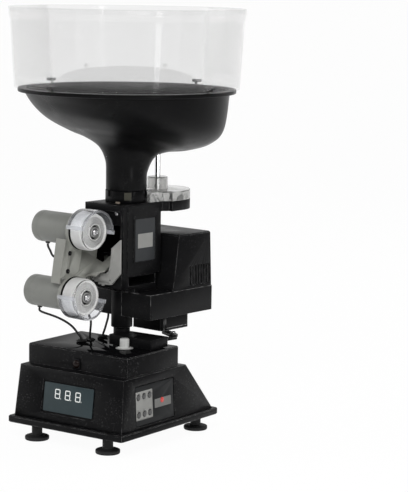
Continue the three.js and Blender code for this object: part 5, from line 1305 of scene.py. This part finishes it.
class StageOperator(bpy.types.Operator):
    """Floor, lamps, world and the camera at the photograph's angle"""

    bl_idname = "robot.stage"
    bl_label = "Stage"

    def execute(self, context):
        scene = context.scene
        s = scene.robot_stage
        self.camera(scene, s)
        self.floor(s)
        self.world(scene)
        self.lamp("key", (1.2, -2.5, 2.5), (1.3, 1.3), s.key)
        self.lamp("fill", (-2.4, -1.4, 1.4), (2.0, 2.0), s.key * 0.4)
        self.lamp("back", (0.6, 2.2, 2.2), (1.6, 1.6), s.key * 0.4)
        self.lamp("strip", (1.25, -0.56, 0.62), (0.14, 1.2), s.key * 0.11)
        scene.view_settings.view_transform = "Standard"
        return {"FINISHED"}

    def camera(self, scene, s):
        """The photograph's camera: where it stands, which way it looks and its small roll."""
        azimuth, elevation, roll = (math.radians(v) for v in (35.246, 8.226, 0.862))
        towards = np.array(
            [math.sin(azimuth) * math.cos(elevation), -math.cos(azimuth) * math.cos(elevation), math.sin(elevation)]
        )
        level = np.cross(-towards, [0, 0, 1])
        level /= np.linalg.norm(level)
        upright = np.cross(level, -towards)
        right = level * math.cos(roll) + upright * math.sin(roll)
        up = -level * math.sin(roll) + upright * math.cos(roll)
        data = bpy.data.cameras.new("photo_camera")
        data.sensor_fit = "HORIZONTAL"
        data.sensor_width = 36
        data.lens = s.lens
        data.clip_start, data.clip_end = 0.1, 20
        camera = bpy.data.objects.new("photo_camera", data)
        columns = np.eye(4)
        columns[:3, 0], columns[:3, 1], columns[:3, 2] = right, up, towards
        columns[:3, 3] = (1.670, -2.1686, 0.6678)
        camera.matrix_world = Matrix(columns.tolist())
        scene.collection.objects.link(camera)
        scene.camera = camera

    def floor(self, s):
        """A wide floor that curves up into a backdrop: level, a quarter circle, then upright."""
        depth = np.array([-12, 3, *(3 + 1.5 * np.sin(np.linspace(0, math.pi / 2, 13)[1:])), 4.5])
        height = np.array([0, 0, *(1.5 - 1.5 * np.cos(np.linspace(0, math.pi / 2, 13)[1:])), 6])
        across = np.array([-16.0, 16.0])
        turn = math.radians(35)
        x = across[None, :] + np.zeros((len(depth), 1))
        y = depth[:, None] + np.zeros((1, 2))
        grid = np.stack([x, y, height[:, None] + np.zeros((1, 2)) - 0.00002], axis=-1)
        backdrop = finish_mesh("backdrop", turned_about(grid, 2, turn), grid_quads(len(depth), 2, wrap_columns=False))
        paper = Finish("backdrop_paper", tuple(s.floor), 0.85)
        fibre = paper.grain(0.002, 4.0)
        tint = tuple(s.floor)
        paper.feed(Base_Color=paper.blend(fibre, tint, tuple(v * 0.985 for v in tint)))
        # What the camera sees of the paper, straight or in a mirror, is nearly all white; the rest keeps the shadow
        seen = None
        for ray in ("Is Camera Ray", "Is Glossy Ray", "Is Transmission Ray"):
            share = paper.node("ShaderNodeLightPath", {}, {}, ray)
            seen = share if seen is None else seen + share
        white = paper.node("ShaderNodeEmission", {}, {"Color": (1, 1, 1, 1), "Strength": 1.03})
        shown = paper.node(
            "ShaderNodeMixShader", {}, {0: seen * 0.93, 1: Field(paper, paper.shader.outputs[0]), 2: white}
        )
        paper.tree.links.new(shown.socket, paper.tree.nodes["Material Output"].inputs["Surface"])
        backdrop.data.materials.append(paper.material)

    def world(self, scene):
        """White to the camera beyond the paper, and a faint white light for all else."""
        world = bpy.data.worlds.new("studio")
        world.use_nodes = True
        tree = world.node_tree
        faint, white = tree.nodes["Background"], tree.nodes.new("ShaderNodeBackground")
        for background, strength in ((faint, 0.25), (white, 1.0)):
            background.inputs["Color"].default_value = (1, 1, 1, 1)
            background.inputs["Strength"].default_value = strength
        ray, both = tree.nodes.new("ShaderNodeLightPath"), tree.nodes.new("ShaderNodeMixShader")
        tree.links.new(ray.outputs["Is Camera Ray"], both.inputs[0])
        tree.links.new(faint.outputs[0], both.inputs[1])
        tree.links.new(white.outputs[0], both.inputs[2])
        tree.links.new(both.outputs[0], tree.nodes["World Output"].inputs["Surface"])
        scene.world = world

    def lamp(self, name, place, size, power):
        """A soft lamp, so wide and so high, that looks at the object's middle and isn't seen itself."""
        data = bpy.data.lights.new(name, "AREA")
        data.shape = "RECTANGLE"
        data.size, data.size_y = size
        data.energy = power
        lamp = bpy.data.objects.new(name, data)
        lamp.location = place
        lamp.visible_camera = False
        lamp.rotation_euler = (Vector((0, 0, 0.3)) - Vector(place)).to_track_quat("-Z", "Y").to_euler()
        bpy.context.scene.collection.objects.link(lamp)


class RobotPanel(bpy.types.Panel):
    """The pieces, one button each, and their sizes"""

    bl_idname = "VIEW3D_PT_robot"
    bl_label = "Table tennis robot"
    bl_space_type = "VIEW_3D"
    bl_region_type = "UI"
    bl_category = "Robot"

    def draw(self, context):
        column = self.layout.column()
        for operator in OPERATORS:
            column.operator(operator.bl_idname)
        for name, group in GROUPS.items():
            box = self.layout.box()
            box.label(text=group.__doc__)
            for key in group.__annotations__:
                box.prop(getattr(context.scene, name), key)


OPERATORS = [
    FinishOperator, StageOperator, LeadOperator, CasingOperator, BowlOperator, CollarOperator, TrainOperator,
    WheelOperator, MotorOperator, GuardOperator, FootOperator, DisplayOperator, ControlOperator, KnobOperator,
    ScrewOperator, KeptOperator,
]
GROUPS = {
    "robot_colours": RobotColours,
    "robot_casing": RobotCasing,
    "robot_bowl": RobotBowl,
    "robot_wheel": RobotWheel,
    "robot_lead": RobotLead,
    "robot_stage": RobotStage,
}


def register():
    for name, group in GROUPS.items():
        bpy.utils.register_class(group)
        setattr(bpy.types.Scene, name, bpy.props.PointerProperty(type=group))
    for entry in (*OPERATORS, RobotPanel):
        bpy.utils.register_class(entry)


def unregister():
    for entry in (RobotPanel, *reversed(OPERATORS)):
        bpy.utils.unregister_class(entry)
    for name, group in reversed(list(GROUPS.items())):
        delattr(bpy.types.Scene, name)
        bpy.utils.unregister_class(group)


def main():
    """Registers the add-on and makes every piece in order."""
    register()
    for operator in OPERATORS:
        group, name = operator.bl_idname.split(".")
        getattr(getattr(bpy.ops, group), name)()


if __name__ == "__main__":
    main()
